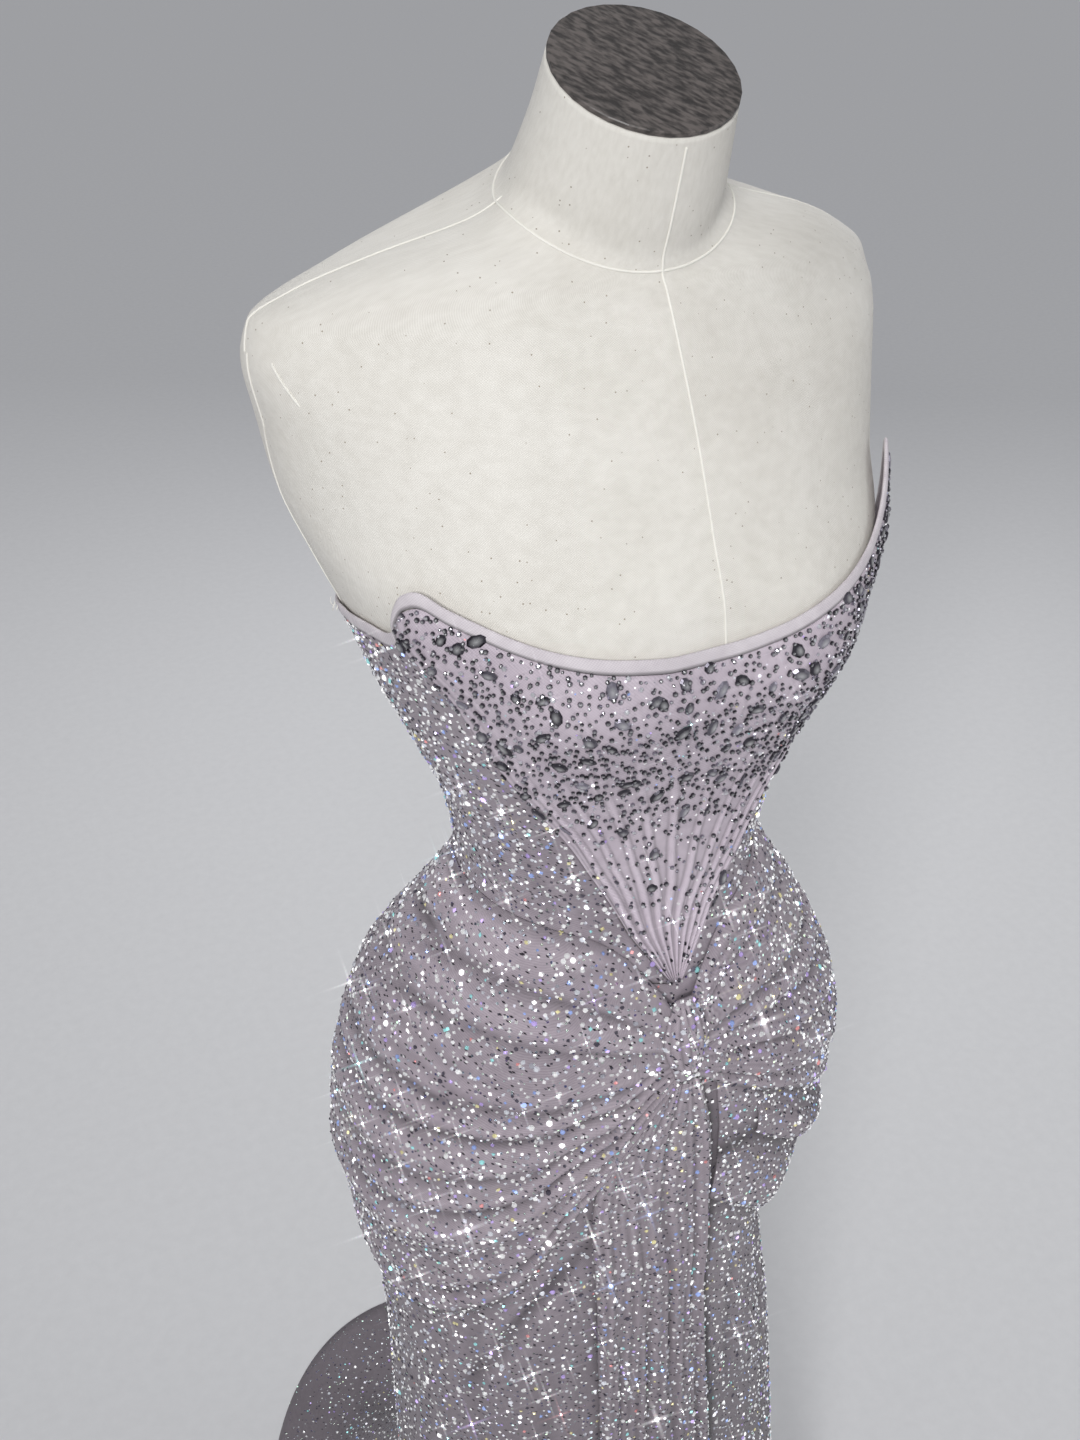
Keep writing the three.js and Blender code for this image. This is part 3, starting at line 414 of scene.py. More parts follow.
def grid_faces(rows: int, columns: int, is_round: bool = False) -> Array:
    """Four-sided faces of a grid of points, turning left when columns run right and rows run up.

    Args:
        rows: points up.
        columns: points across.
        is_round: whether the last column meets the first.

    Returns:
        (m, 4) point numbers.
    """
    index = np.arange(rows * columns).reshape(rows, columns)
    right = np.roll(index, -1, 1) if is_round else index[:, 1:]
    left = index if is_round else index[:, :-1]
    return np.stack([left[:-1], right[:-1], right[1:], left[1:]], -1).reshape(-1, 4)


def wall_faces(rows: int, columns: int) -> Array:
    """Faces of a closed cloth wall: an outer grid, an inner grid after it, and a rim round the four edges.

    Args:
        rows: points up.
        columns: points across.

    Returns:
        (m, 4) point numbers.
    """
    half = rows * columns
    outer = grid_faces(rows, columns)
    index = np.arange(half).reshape(rows, columns)
    rims = []
    for line, is_turned in ((index[0], False), (index[-1], True), (index[:, 0], True), (index[:, -1], False)):
        a, b = line[:-1], line[1:]
        quad = [a, b, b + half, a + half] if is_turned else [a, a + half, b + half, b]
        rims.append(np.stack(quad, -1))
    return np.concatenate([outer, outer[:, ::-1] + half, *rims])


def arc_uv(grid: Array) -> Array:
    """Pattern coordinates in metres: arc lengths along the rows from the middle column, and up each column.

    Args:
        grid: (rows, columns, 3) points.

    Returns:
        (rows, columns, 2) coordinates.
    """
    along = np.linalg.norm(np.diff(grid, axis=1), axis=-1)
    u = np.concatenate([np.zeros((grid.shape[0], 1)), np.cumsum(along, 1)], 1)
    u = u - u[:, u.shape[1] // 2][:, None]
    up = np.linalg.norm(np.diff(grid, axis=0), axis=-1)
    v = np.concatenate([np.zeros((1, grid.shape[1])), np.cumsum(up, 0)], 0)
    return np.stack([u, v], -1) * METRE


def grid_normals(grid: Array) -> Array:
    """Unit normals of a grid, from its slopes."""
    normal = np.cross(np.gradient(grid, axis=1), np.gradient(grid, axis=0))
    return normal / np.maximum(np.linalg.norm(normal, axis=-1, keepdims=True), 1e-9)


def cell_areas(grid: Array) -> Array:
    """The area of each cell of a grid, in square millimetres."""
    a, b = grid[1:, 1:] - grid[:-1, :-1], grid[1:, :-1] - grid[:-1, 1:]
    return np.linalg.norm(np.cross(a, b), axis=-1) / 2


@dataclass
class Cloth:
    """A made-up piece of cloth: its object, its outer grid in millimetres and the painted shade on it, as a
    lightness at each point.
    """

    piece: Piece
    grid: Array
    light: Optional[Array] = None

    def cut(self) -> Tuple[Span, float]:
        """Measures the cut with its pleats let out.

        Returns:
            The longest arc lengths across and along, and the area, in metres.
        """
        uv = arc_uv(self.grid)
        width = float((uv[..., 0].max(1) - uv[..., 0].min(1)).max())
        length = float(uv[..., 1].max())
        area = float(cell_areas(self.grid).sum()) * METRE**2
        return (round(width, 3), round(length, 3)), round(min(area, width * length), 4)


def painted_fold_shade(raised: Array, reach: int = 5, depth: float = 3.0) -> Array:
    """Painted shade and highlight for cloth in folds: darker in the troughs and lighter on the ridges, from a
    height less its own average over nearby points.

    Args:
        raised: how far the cloth stands out at each point.
        reach: how many points the average reaches.
        depth: the millimetres that take all the painted light away.

    Returns:
        The painted lightness, 1 on flat cloth.
    """
    around = raised
    for _ in range(reach):
        wide = np.pad(around, ((1, 1), (0, 0)), mode="edge")
        around = (wide[:-2] + wide[1:-1] + wide[2:]) / 3
        wide = np.pad(around, ((0, 0), (1, 1)), mode="edge")
        around = (wide[:, :-2] + wide[:, 1:-1] + wide[:, 2:]) / 3
    return np.clip(1 + (raised - around) / depth, 0.4, 1.2)


def make_cloth(
    name: str, outer: Array, inner: Array, finish: "Finish", nodes: Sequence[str],
    light: Optional[Array] = None,
) -> Cloth:
    """A closed cloth wall over two grids of points.

    Args:
        name: the piece's name.
        outer: (rows, columns, 3) points of the face that shows.
        inner: the same grid on the inside.
        finish: the cloth's finish.
        nodes: the CAD nodes it stands for.
        light: the painted shade and highlight at each point, as a lightness that is 1 where none is painted.

    Returns:
        The cloth, with its object.
    """
    rows, columns = outer.shape[:2]
    uv = arc_uv(outer).reshape(-1, 2)
    points = np.concatenate([outer.reshape(-1, 3), inner.reshape(-1, 3)])
    # Painted shade: the cloth's lightness goes into the point colours, which the net and strip finishes
    # multiply into the cloth colour.
    colour_and_painted_light = np.ones((rows * columns, 4))
    if light is not None:
        colour_and_painted_light[:, :3] = light.reshape(-1, 1)
    colour_and_painted_light = np.concatenate([colour_and_painted_light, colour_and_painted_light])
    piece = mesh_piece(name, points, wall_faces(rows, columns), finish, np.concatenate([uv, uv]), colour_and_painted_light)
    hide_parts(*nodes)
    return Cloth(piece, outer, light)


def tube_along(path: Array, normals: Array, radius: float, sides: int = 8, squash: float = 1.0) -> Pair:
    """A closed tube carried along a path.

    Args:
        path: (n, 3) centre points.
        normals: (n, 3) directions away from the cloth.
        radius: the tube's radius along the cloth.
        sides: how many sides it has.
        squash: its height over its width.

    Returns:
        Points and faces, with the two ends drawn in to a point.
    """
    along = np.gradient(path, axis=0)
    along /= np.maximum(np.linalg.norm(along, axis=1, keepdims=True), 1e-9)
    across = np.cross(along, normals)
    across /= np.maximum(np.linalg.norm(across, axis=1, keepdims=True), 1e-9)
    out = np.cross(across, along)
    turn = np.linspace(0, 2 * np.pi, sides, endpoint=False)
    size = np.ones(len(path))
    size[0] = size[-1] = 0.05
    ring = across[:, None] * np.cos(turn)[None, :, None] + squash * out[:, None] * np.sin(turn)[None, :, None]
    points = path[:, None] + radius * size[:, None, None] * ring
    return points.reshape(-1, 3), grid_faces(len(path), sides, is_round=True)


def joined(parts: Sequence[Pair]) -> Pair:
    """Joins several lots of points and faces.

    Args:
        parts: the lots.

    Returns:
        All the points and all the faces.
    """
    lots, faces = zip(*parts)
    starts = np.cumsum([0] + [len(points) for points in lots[:-1]])
    return np.concatenate(lots), np.concatenate([quads + start for quads, start in zip(faces, starts)])


# Materials


class Nodes:
    """A node tree that is being built, with short ways to the nodes that effects and finishes use."""

    def __init__(self, tree: Tree) -> None:
        """Takes the tree that the nodes go into."""
        self.tree = tree

    def fed(self, node: Node, values: Dict[object, object]) -> Node:
        """Links sockets to a node's inputs, or sets them to plain values.

        Args:
            node: the node.
            values: a socket or a plain value for each input, by its name or number.

        Returns:
            The node.
        """
        for label, value in values.items():
            if isinstance(value, Socket):
                self.tree.links.new(value, node.inputs[label])
            else:
                node.inputs[label].default_value = value
        return node

    def add(self, kind: str, values: Dict[object, object]) -> Node:
        """Adds a node of a kind, with its inputs fed."""
        return self.fed(self.tree.nodes.new(kind), values)

    def ramp(self, source: Socket, low: float, high: float) -> Socket:
        """The source from 0 at low to 1 at high, held past both."""
        values = {"Value": source, "From Min": low, "From Max": high}
        return self.add("ShaderNodeMapRange", values).outputs["Result"]

    def noise(
        self, place: Socket, scale: object, detail: float, roughness: float = 0.5,
    ) -> Socket:
        """Soft noise over a place."""
        values = {"Vector": place, "Scale": scale, "Detail": detail, "Roughness": roughness}
        return self.add("ShaderNodeTexNoise", values).outputs["Fac"]

    def maths(self, operation: str, *values: object) -> Socket:
        """Does sums with sockets and numbers.

        Args:
            operation: the kind of sum.
            values: its sockets and numbers, in order.

        Returns:
            The result.
        """
        node = self.tree.nodes.new("ShaderNodeMath")
        node.operation = operation
        return self.fed(node, dict(enumerate(values))).outputs[0]

    def blend(self, factor: object, a: object, b: object, mode: str = "MIX") -> Socket:
        """Mixes two colours, and goes past the second one where the factor is over 1.

        Args:
            factor: the second colour's share.
            a: the first colour.
            b: the second colour.
            mode: how they are mixed.

        Returns:
            The mixed colour.
        """
        node = self.tree.nodes.new("ShaderNodeMix")
        node.data_type = "RGBA"
        node.blend_type = mode
        node.clamp_factor = False
        return self.fed(node, {0: factor, 6: a, 7: b}).outputs[2]

    def group(self, effect: Tree, **values: object) -> Node:
        """Places an effect, with sockets or numbers for its inputs."""
        node = self.tree.nodes.new("ShaderNodeGroup")
        node.node_tree = effect
        return self.fed(node, values)


def new_group(
    name: str, inputs: Dict[str, float], outputs: Sequence[str],
) -> Tuple[Nodes, Dict[str, Socket], Node]:
    """A shader node group with its sockets.

    Args:
        name: the effect's name.
        inputs: each number that it takes, with its default; it takes a Vector before them.
        outputs: the numbers that it gives.

    Returns:
        The group's nodes, the sockets that it takes, and its output node.
    """
    group = bpy.data.node_groups.new(name, "ShaderNodeTree")
    group.interface.new_socket(name="Vector", in_out="INPUT", socket_type="NodeSocketVector")
    for label, default in inputs.items():
        socket = group.interface.new_socket(name=label, in_out="INPUT", socket_type="NodeSocketFloat")
        socket.default_value = default
    for label in outputs:
        kind = "NodeSocketColor" if label == "Colour" else "NodeSocketFloat"
        group.interface.new_socket(name=label, in_out="OUTPUT", socket_type=kind)
    start = group.nodes.new("NodeGroupInput")
    taken = {label: start.outputs[label] for label in ("Vector", *inputs)}
    return Nodes(group), taken, group.nodes.new("NodeGroupOutput")


class Effects:
    """Shader groups that several finishes share, each built once."""

    @staticmethod
    @lru_cache(maxsize=None)
    def weave() -> Tree:
        """Crossed threads: the product of two sine waves, a little uneven, as a height and a mask.

        Returns:
            The group.
        """
        nodes, taken, end = new_group("crossed_threads", {"Threads": 900.0}, ("Height", "Mask"))
        split = nodes.add("ShaderNodeSeparateXYZ", {0: taken["Vector"]})
        turn = nodes.maths("MULTIPLY", taken["Threads"], 2 * math.pi)
        warp = nodes.maths("SINE", nodes.maths("MULTIPLY", split.outputs["X"], turn))
        weft = nodes.maths("SINE", nodes.maths("MULTIPLY", split.outputs["Y"], turn))
        slub = nodes.noise(taken["Vector"], 160, 3)
        height = nodes.maths("MULTIPLY_ADD", nodes.maths("MULTIPLY", warp, weft), 0.5, slub)
        nodes.fed(end, {"Height": height, "Mask": nodes.ramp(height, -0.1, 1.1)})
        return nodes.tree

    @staticmethod
    @lru_cache(maxsize=None)
    def specks() -> Tree:
        """Round specks at cell centres: a mask within Reach of a centre, and a chance for each speck.

        Returns:
            The group.
        """
        inputs = {"Count": 300.0, "Reach": 0.3, "Share": 0.6}
        nodes, taken, end = new_group("scattered_specks", inputs, ("Mask", "Chance", "Colour"))
        cells = nodes.add("ShaderNodeTexVoronoi", {"Vector": taken["Vector"], "Scale": taken["Count"]})
        split = nodes.add("ShaderNodeSeparateColor", {0: cells.outputs["Color"]})
        near = nodes.maths("LESS_THAN", cells.outputs["Distance"], taken["Reach"])
        shown = nodes.maths("LESS_THAN", split.outputs["Red"], taken["Share"])
        mask = nodes.maths("MULTIPLY", near, shown)
        nodes.fed(end, {"Mask": mask, "Chance": split.outputs["Green"], "Colour": cells.outputs["Color"]})
        return nodes.tree

    @staticmethod
    @lru_cache(maxsize=None)
    def cloudiness() -> Tree:
        """Large soft patches between 0 and 1, for uneven dye, dust and handling.

        Returns:
            The group.
        """
        nodes, taken, end = new_group("soft_patches", {"Scale": 9.0}, ("Value",))
        noise = nodes.noise(taken["Vector"], taken["Scale"], 5, 0.6)
        nodes.fed(end, {"Value": nodes.ramp(noise, 0.3, 0.7)})
        return nodes.tree


class Surface(Nodes):
    """A material's nodes while a finish is laid on it."""

    def __init__(self, material: bpy.types.Material) -> None:
        """Takes the material's shader, and adds its coordinates.

        Args:
            material: the material.
        """
        super().__init__(material.node_tree)
        self.shader = self.tree.nodes["Principled BSDF"]
        place = self.tree.nodes.new("ShaderNodeTexCoord")
        self.pattern, self.place = place.outputs["UV"], place.outputs["Object"]

    def weave(self, threads: float) -> Node:
        """Crossed threads in the pattern coordinates."""
        return self.group(Effects.weave(), Vector=self.pattern, Threads=threads)

    def cloud(self, scale: float) -> Socket:
        """Soft patches."""
        return self.group(Effects.cloudiness(), Vector=self.place, Scale=scale).outputs["Value"]

    def specks(self, count: float, reach: float, share: float) -> Node:
        """Round specks."""
        return self.group(Effects.specks(), Vector=self.place, Count=count, Reach=reach, Share=share)

    def kept(self) -> Node:
        """The colours kept with the points: painted shade on cloth, and on stones their own colours with a
        painted glow in the alpha.
        """
        node = self.tree.nodes.new("ShaderNodeAttribute")
        node.attribute_name = "colour_and_painted_light"
        return node

    def coat(self, values: Dict[object, object]) -> None:
        """Feeds the shader."""
        self.fed(self.shader, values)

    def bump(self, height: Socket, distance: float, strength: float) -> None:
        """Feeds a height to the shader's normal."""
        values = {"Strength": strength, "Distance": distance, "Height": height}
        self.coat({"Normal": self.add("ShaderNodeBump", values).outputs["Normal"]})


@dataclass(frozen=True)
class Finish:
    """A surface finish: the record's slot that it belongs to and its plain shader values."""

    name: str
    slot: str
    base: Triple = (0.8, 0.8, 0.8)
    deep: Triple = (0.6, 0.6, 0.6)
    roughness: float = 0.6
    metallic: float = 0.0
    sheen: float = 0.0
    bump: float = 0.3

    def material(self) -> bpy.types.Material:
        """The finish's material, made the first time it is asked for.

        Returns:
            The material.
        """
        material = bpy.data.materials.get(self.name)
        if material is None:
            material = bpy.data.materials.new(self.name)
            material.use_nodes = True
            surface = Surface(material)
            surface.coat({"Roughness": self.roughness, "Metallic": self.metallic, "Sheen Weight": self.sheen})
            self.dress(surface)
        return material

    def between(self, surface: Surface, factor: Socket) -> Socket:
        """A colour that is deep where the factor is 0 and base where it is 1."""
        return surface.blend(factor, (*self.deep, 1), (*self.base, 1))

    def woven(
        self, surface: Surface, threads: float, patch: float, share: float, span: Span,
    ) -> Tuple[Socket, Socket]:
        """Threads with soft patches, times the painted shade kept with the points.

        Args:
            surface: the material's nodes.
            threads: threads to the metre.
            patch: the scale of the patches.
            share: how much the patches count beside the threads.
            span: the sums of both at which the colour is deep and base.

        Returns:
            The cloth's colour and its threads' height.
        """
        weave = surface.weave(threads)
        uneven = surface.maths("MULTIPLY_ADD", surface.cloud(patch), share, weave.outputs["Mask"])
        cloth = self.between(surface, surface.ramp(uneven, *span))
        cloth = surface.blend(1.0, cloth, surface.kept().outputs["Color"], "MULTIPLY")
        return cloth, weave.outputs["Height"]

    def dress(self, surface: Surface) -> None:
        """Cloudy colour between deep and base.

        Args:
            surface: the material's nodes.
        """
        cloud = surface.cloud(60.0)
        surface.coat({"Base Color": self.between(surface, cloud)})
        surface.bump(cloud, 0.0002, self.bump)


@dataclass(frozen=True)
class Linen(Finish):
    """Plain woven linen glued over the form, with slubs, small dark flecks and faint handling marks."""

    threads: float = 900.0
    flecks: Triple = (330.0, 0.15, 0.12)
    fleck_colour: Colour = (0.36, 0.31, 0.25, 1)

    def dress(self, surface: Surface) -> None:
        """Weave in the pattern coordinates, flecks and soft patches.

        Args:
            surface: the material's nodes.
        """
        weave = surface.weave(self.threads)
        mask = weave.outputs["Mask"]
        shade = surface.maths("MULTIPLY_ADD", mask, 1.2, surface.cloud(7.0))
        cloth = self.between(surface, surface.ramp(shade, 0.1, 1.6))
        flecks = surface.specks(*self.flecks).outputs["Mask"]
        surface.coat({
            "Base Color": surface.blend(flecks, cloth, self.fleck_colour),
            "Roughness": surface.maths("MULTIPLY_ADD", mask, -0.12, self.roughness),
        })
        surface.bump(weave.outputs["Height"], 0.0006, self.bump)


@dataclass(frozen=True)
class CrystalNet(Finish):
    """Fine net sewn all over with tiny stones, the smallest of which are specks of the finish."""

    stones: Triple = (300.0, 0.27, 0.34)
    dark_stone: Colour = (0.12, 0.11, 0.14, 1)
    bright_stone: Colour = (1.0, 0.99, 1.0, 1)
    low_shade: float = 0.52
    stone_metal: float = 0.75
    stone_roughness: float = 0.22
    painted_sparkle_above: float = 0.93
    painted_glow_strength: float = 0.9

    def dress(self, surface: Surface) -> None:
        """Net threads and soft patches, painted shade that darkens the net down the skirt, and specks that
        are metallic stones, dark or bright, a few with a painted sparkle.

        Args:
            surface: the material's nodes.
        """
        net, threads = self.woven(surface, 640.0, 11.0, 0.5, (0.0, 1.3))
        # Painted shade: the net is darkened by height, from full colour at 1 m to low_shade at 0.45 m and
        # below.
        split = surface.add("ShaderNodeSeparateXYZ", {0: surface.place})
        height = surface.ramp(split.outputs["Z"], 0.45, 1.0)
        shade = surface.maths("MULTIPLY_ADD", height, 1 - self.low_shade, self.low_shade)
        painted_height_shade = surface.add("ShaderNodeCombineColor", {"Red": shade, "Green": shade, "Blue": shade})
        net = surface.blend(1.0, net, painted_height_shade.outputs[0], "MULTIPLY")
        specks = surface.specks(*self.stones)
        mask, chance, colour = (specks.outputs[label] for label in ("Mask", "Chance", "Colour"))
        stone = surface.blend(surface.ramp(chance, 0.3, 1.0), self.dark_stone, self.bright_stone)
        stone = surface.blend(0.16, stone, colour)
        # Painted sparkle: the specks with the highest chance glow in a pale colour of their own, as emission.
        spark = surface.maths("MULTIPLY", surface.maths("GREATER_THAN", chance, self.painted_sparkle_above), mask)
        light = surface.blend(0.45, (1, 1, 1, 1), colour)
        change = self.stone_roughness - self.roughness
        surface.coat({
            "Base Color": surface.blend(mask, net, stone),
            "Metallic": surface.maths("MULTIPLY", mask, self.stone_metal),
            "Roughness": surface.maths("MULTIPLY_ADD", mask, change, self.roughness),
            "Emission Color": surface.blend(spark, (0, 0, 0, 1), light),
            "Emission Strength": self.painted_glow_strength,
        })
        relief = surface.maths("MULTIPLY_ADD", mask, 2.0, threads)
        relief = surface.maths("MULTIPLY_ADD", surface.maths("MULTIPLY", chance, mask), 2.0, relief)
        surface.bump(relief, 0.0005, self.bump)


@dataclass(frozen=True)
class Tulle(Finish):
    """Pale net over boning: a fine weave with soft mauve patches."""

    grain: Triple = (520.0, 0.3, 0.3)
    grain_colour: Colour = (0.3, 0.26, 0.31, 1)

    def dress(self, surface: Surface) -> None:
        """Net threads over a pale ground, deeper in soft patches, and darker towards the seams by the painted
        shade kept with the points.

        Args:
            surface: the material's nodes.
        """
        net, threads = self.woven(surface, 560.0, 16.0, 0.5, (0.1, 1.3))
        grain = surface.specks(*self.grain).outputs["Mask"]
        surface.coat({
            "Base Color": surface.blend(surface.maths("MULTIPLY", grain, 0.3), net, self.grain_colour),
            "Roughness": surface.maths("MULTIPLY_ADD", grain, -0.2, self.roughness),
        })
        surface.bump(threads, 0.0003, self.bump)


@dataclass(frozen=True)
class Binding(Finish):
    """A pale folded strip of net. The colours kept with its points darken its lower edge as painted shade."""

    def dress(self, surface: Surface) -> None:
        """Weave and small soft patches.

        Args:
            surface: the material's nodes.
        """
        strip, threads = self.woven(surface, 700.0, 45.0, 0.6, (0.1, 1.4))
        surface.coat({"Base Color": strip})
        surface.bump(threads, 0.0003, self.bump)


@dataclass(frozen=True)
class Stone(Finish):
    """Cut glass stones and beads. Their colours are kept with their points, and the alpha is how much painted
    glow they get.
    """

    painted_glow_strength: float = 2.0
    dust: float = 0.12

    def dress(self, surface: Surface) -> None:
        """Point colours on a mirror-like stone, with a painted glow from the alpha, bright on a few of them,
        and a little dust in the roughness.

        Args:
            surface: the material's nodes.
        """
        colour_and_painted_light = surface.kept()
        surface.coat({
            "Base Color": colour_and_painted_light.outputs["Color"],
            "Roughness": surface.maths("MULTIPLY_ADD", surface.cloud(400.0), self.dust, self.roughness),
            "Emission Color": surface.blend(colour_and_painted_light.outputs["Alpha"], (0, 0, 0, 1), colour_and_painted_light.outputs["Color"]),
            "Emission Strength": self.painted_glow_strength,
        })


@dataclass(frozen=True)
class DarkWood(Finish):
    """Dark stained wood with a fine straight grain."""

    grain_length: float = 0.06
    grain_width: float = 0.0026
    turn: float = -55.0

    def dress(self, surface: Surface) -> None:
        """Noise drawn out along one direction, as grain in colour, roughness and height.

        Args:
            surface: the material's nodes.
        """
        stretch = surface.tree.nodes.new("ShaderNodeMapping")
        stretch.vector_type = "TEXTURE"
        surface.fed(stretch, {
            "Vector": surface.place,
            "Rotation": (0, 0, math.radians(self.turn)),
            "Scale": (self.grain_length, self.grain_width, self.grain_width),
        })
        grain = surface.noise(stretch.outputs["Vector"], 1.0, 6)
        blend = surface.maths("MULTIPLY_ADD", surface.cloud(30.0), 0.12, grain)
        colour = self.between(surface, surface.ramp(blend, 0.44, 0.68))
        surface.coat({"Base Color": colour, "Roughness": surface.ramp(blend, -0.6, 2.2)})
        surface.bump(grain, 0.0003, self.bump)


LINEN = Linen("cover_linen", "form_linen", (0.83, 0.805, 0.75), (0.6, 0.57, 0.51), 0.86, sheen=0.1, bump=0.4)
SEAM_THREAD = Finish("seam_thread", "form_linen", (0.86, 0.84, 0.78), (0.78, 0.76, 0.7), 0.7, bump=0.1)
CAP_WOOD = DarkWood("stained_cap_wood", "cap_wood", (0.125, 0.108, 0.1), (0.028, 0.024, 0.022), 0.5, bump=0.4)
STAND_STEEL = Finish(
    "brushed_steel", "stand_steel", (0.5, 0.5, 0.51), (0.38, 0.38, 0.39), 0.35, 1.0, bump=0.05,
)
TULLE = Tulle("pale_tulle", "tulle", (0.68, 0.6, 0.665), (0.46, 0.39, 0.455), 0.66, sheen=0.1, bump=0.35)
NET = CrystalNet(
    "crystal_net", "crystal_cloth", (0.37, 0.32, 0.36), (0.215, 0.18, 0.21), 0.6, sheen=0.1, bump=0.5,
)
DRAPE_NET = CrystalNet(
    "draped_crystal_net", "drape_cloth", (0.4, 0.345, 0.385), (0.235, 0.195, 0.23), 0.6, sheen=0.1, bump=0.5,
)
STRIP = Binding("binding_strip", "binding_cloth", (0.7, 0.655, 0.68), (0.5, 0.45, 0.485), 0.7, sheen=0.1)
CRYSTAL = Stone("cut_crystal", "crystal_cloth", roughness=0.08, metallic=0.5, painted_glow_strength=3.0)
BEAD = Stone("smoky_bead", "tulle", roughness=0.14, metallic=0.8, painted_glow_strength=1.0)
ZIP_METAL = Finish("zip_alloy", "zip_metal", (0.78, 0.78, 0.8), (0.6, 0.6, 0.62), 0.25, 1.0, bump=0.05)


# Folds


@dataclass(frozen=True)
class Creases:
    """Soft troughs and ridges on hanging cloth, each a line from one (angle, level) to another.

    A crease's depth is its own depth, times a bell across the line, times a half sine along it.
    """

    rows: Tuple[Tuple[float, float, float, float, float, float], ...]
    per_degree: float = 2.4

    @staticmethod
    def scattered(
        seed: int, count: int, angles: Span, levels: Span,
        lean: float, length: Span, width: Span, depth: Span,
    ) -> "Creases":
        """Creases of uneven place, length, width and depth.

        Args:
            seed: the random seed.
            count: how many there are.
            angles: least and greatest angle of their middles.
            levels: least and greatest level of their middles.
            lean: degrees round the body for each millimetre up.
            length: least and greatest length in millimetres.
            width: least and greatest half width in millimetres.
            depth: least and greatest depth in millimetres; a negative one is a ridge.

        Returns:
            The creases.
        """
        rng = np.random.default_rng(seed)
        rows = []
        for k in range(count):
            angle = mix(angles[0], angles[1], (k + rng.uniform(0.1, 0.9)) / count)
            level = rng.uniform(*levels)
            half = rng.uniform(*length) / 2
            tip = lean * half * rng.uniform(0.6, 1.4)
            ends = (angle - tip, level - half, angle + tip, level + half)
            rows.append((*ends, rng.uniform(*width), rng.uniform(*depth)))
        return Creases(tuple(rows))

    def depth(self, angle: Array, level: Array) -> Array:
        """How far the creases sink there.

        Args:
            angle: degrees round the body.
            level: heights.

        Returns:
            Depths in millimetres.
        """
        total = np.zeros(np.broadcast(angle, level).shape)
        for a0, z0, a1, z1, width, depth in self.rows:
            ax, dx, dz = a0 * self.per_degree, (a1 - a0) * self.per_degree, z1 - z0
            size = dx * dx + dz * dz
            x, z = angle * self.per_degree - ax, level - z0
            t = np.clip((x * dx + z * dz) / size, 0, 1)
            off = np.hypot(x - t * dx, z - t * dz)
            total += depth * np.exp(-((off / width) ** 2)) * np.sin(np.pi * np.clip(t, 0.001, 0.999)) ** 0.7
        return total


@dataclass(frozen=True)
class Tucks:
    """A run of uneven pleats over a share from 0 to 1. Each rises slowly and falls sharply."""

    count: int
    depth: float
    seed: int
    uneven: float = 0.02

    def height(self, share: Array) -> Array:
        """How far the pleats stand out: depth * sin(pi * t ** 1.35), with t the place inside each pleat.

        Args:
            share: places along the run.

        Returns:
            Heights in millimetres.
        """
        rng = np.random.default_rng(self.seed)
        depths = self.depth * rng.uniform(0.55, 1.3, self.count + 4)
        turn = 2 * np.pi * share
        moved = share + self.uneven * np.sin(1.7 * turn + 1) + 0.6 * self.uneven * np.sin(4.1 * turn + 2.3)
        place = moved * self.count + 2
        k = np.clip(np.floor(place), 0, self.count + 3).astype(int)
        return depths[k] * np.sin(np.pi * np.clip(place - np.floor(place), 0, 1) ** 1.35)


# The dress form


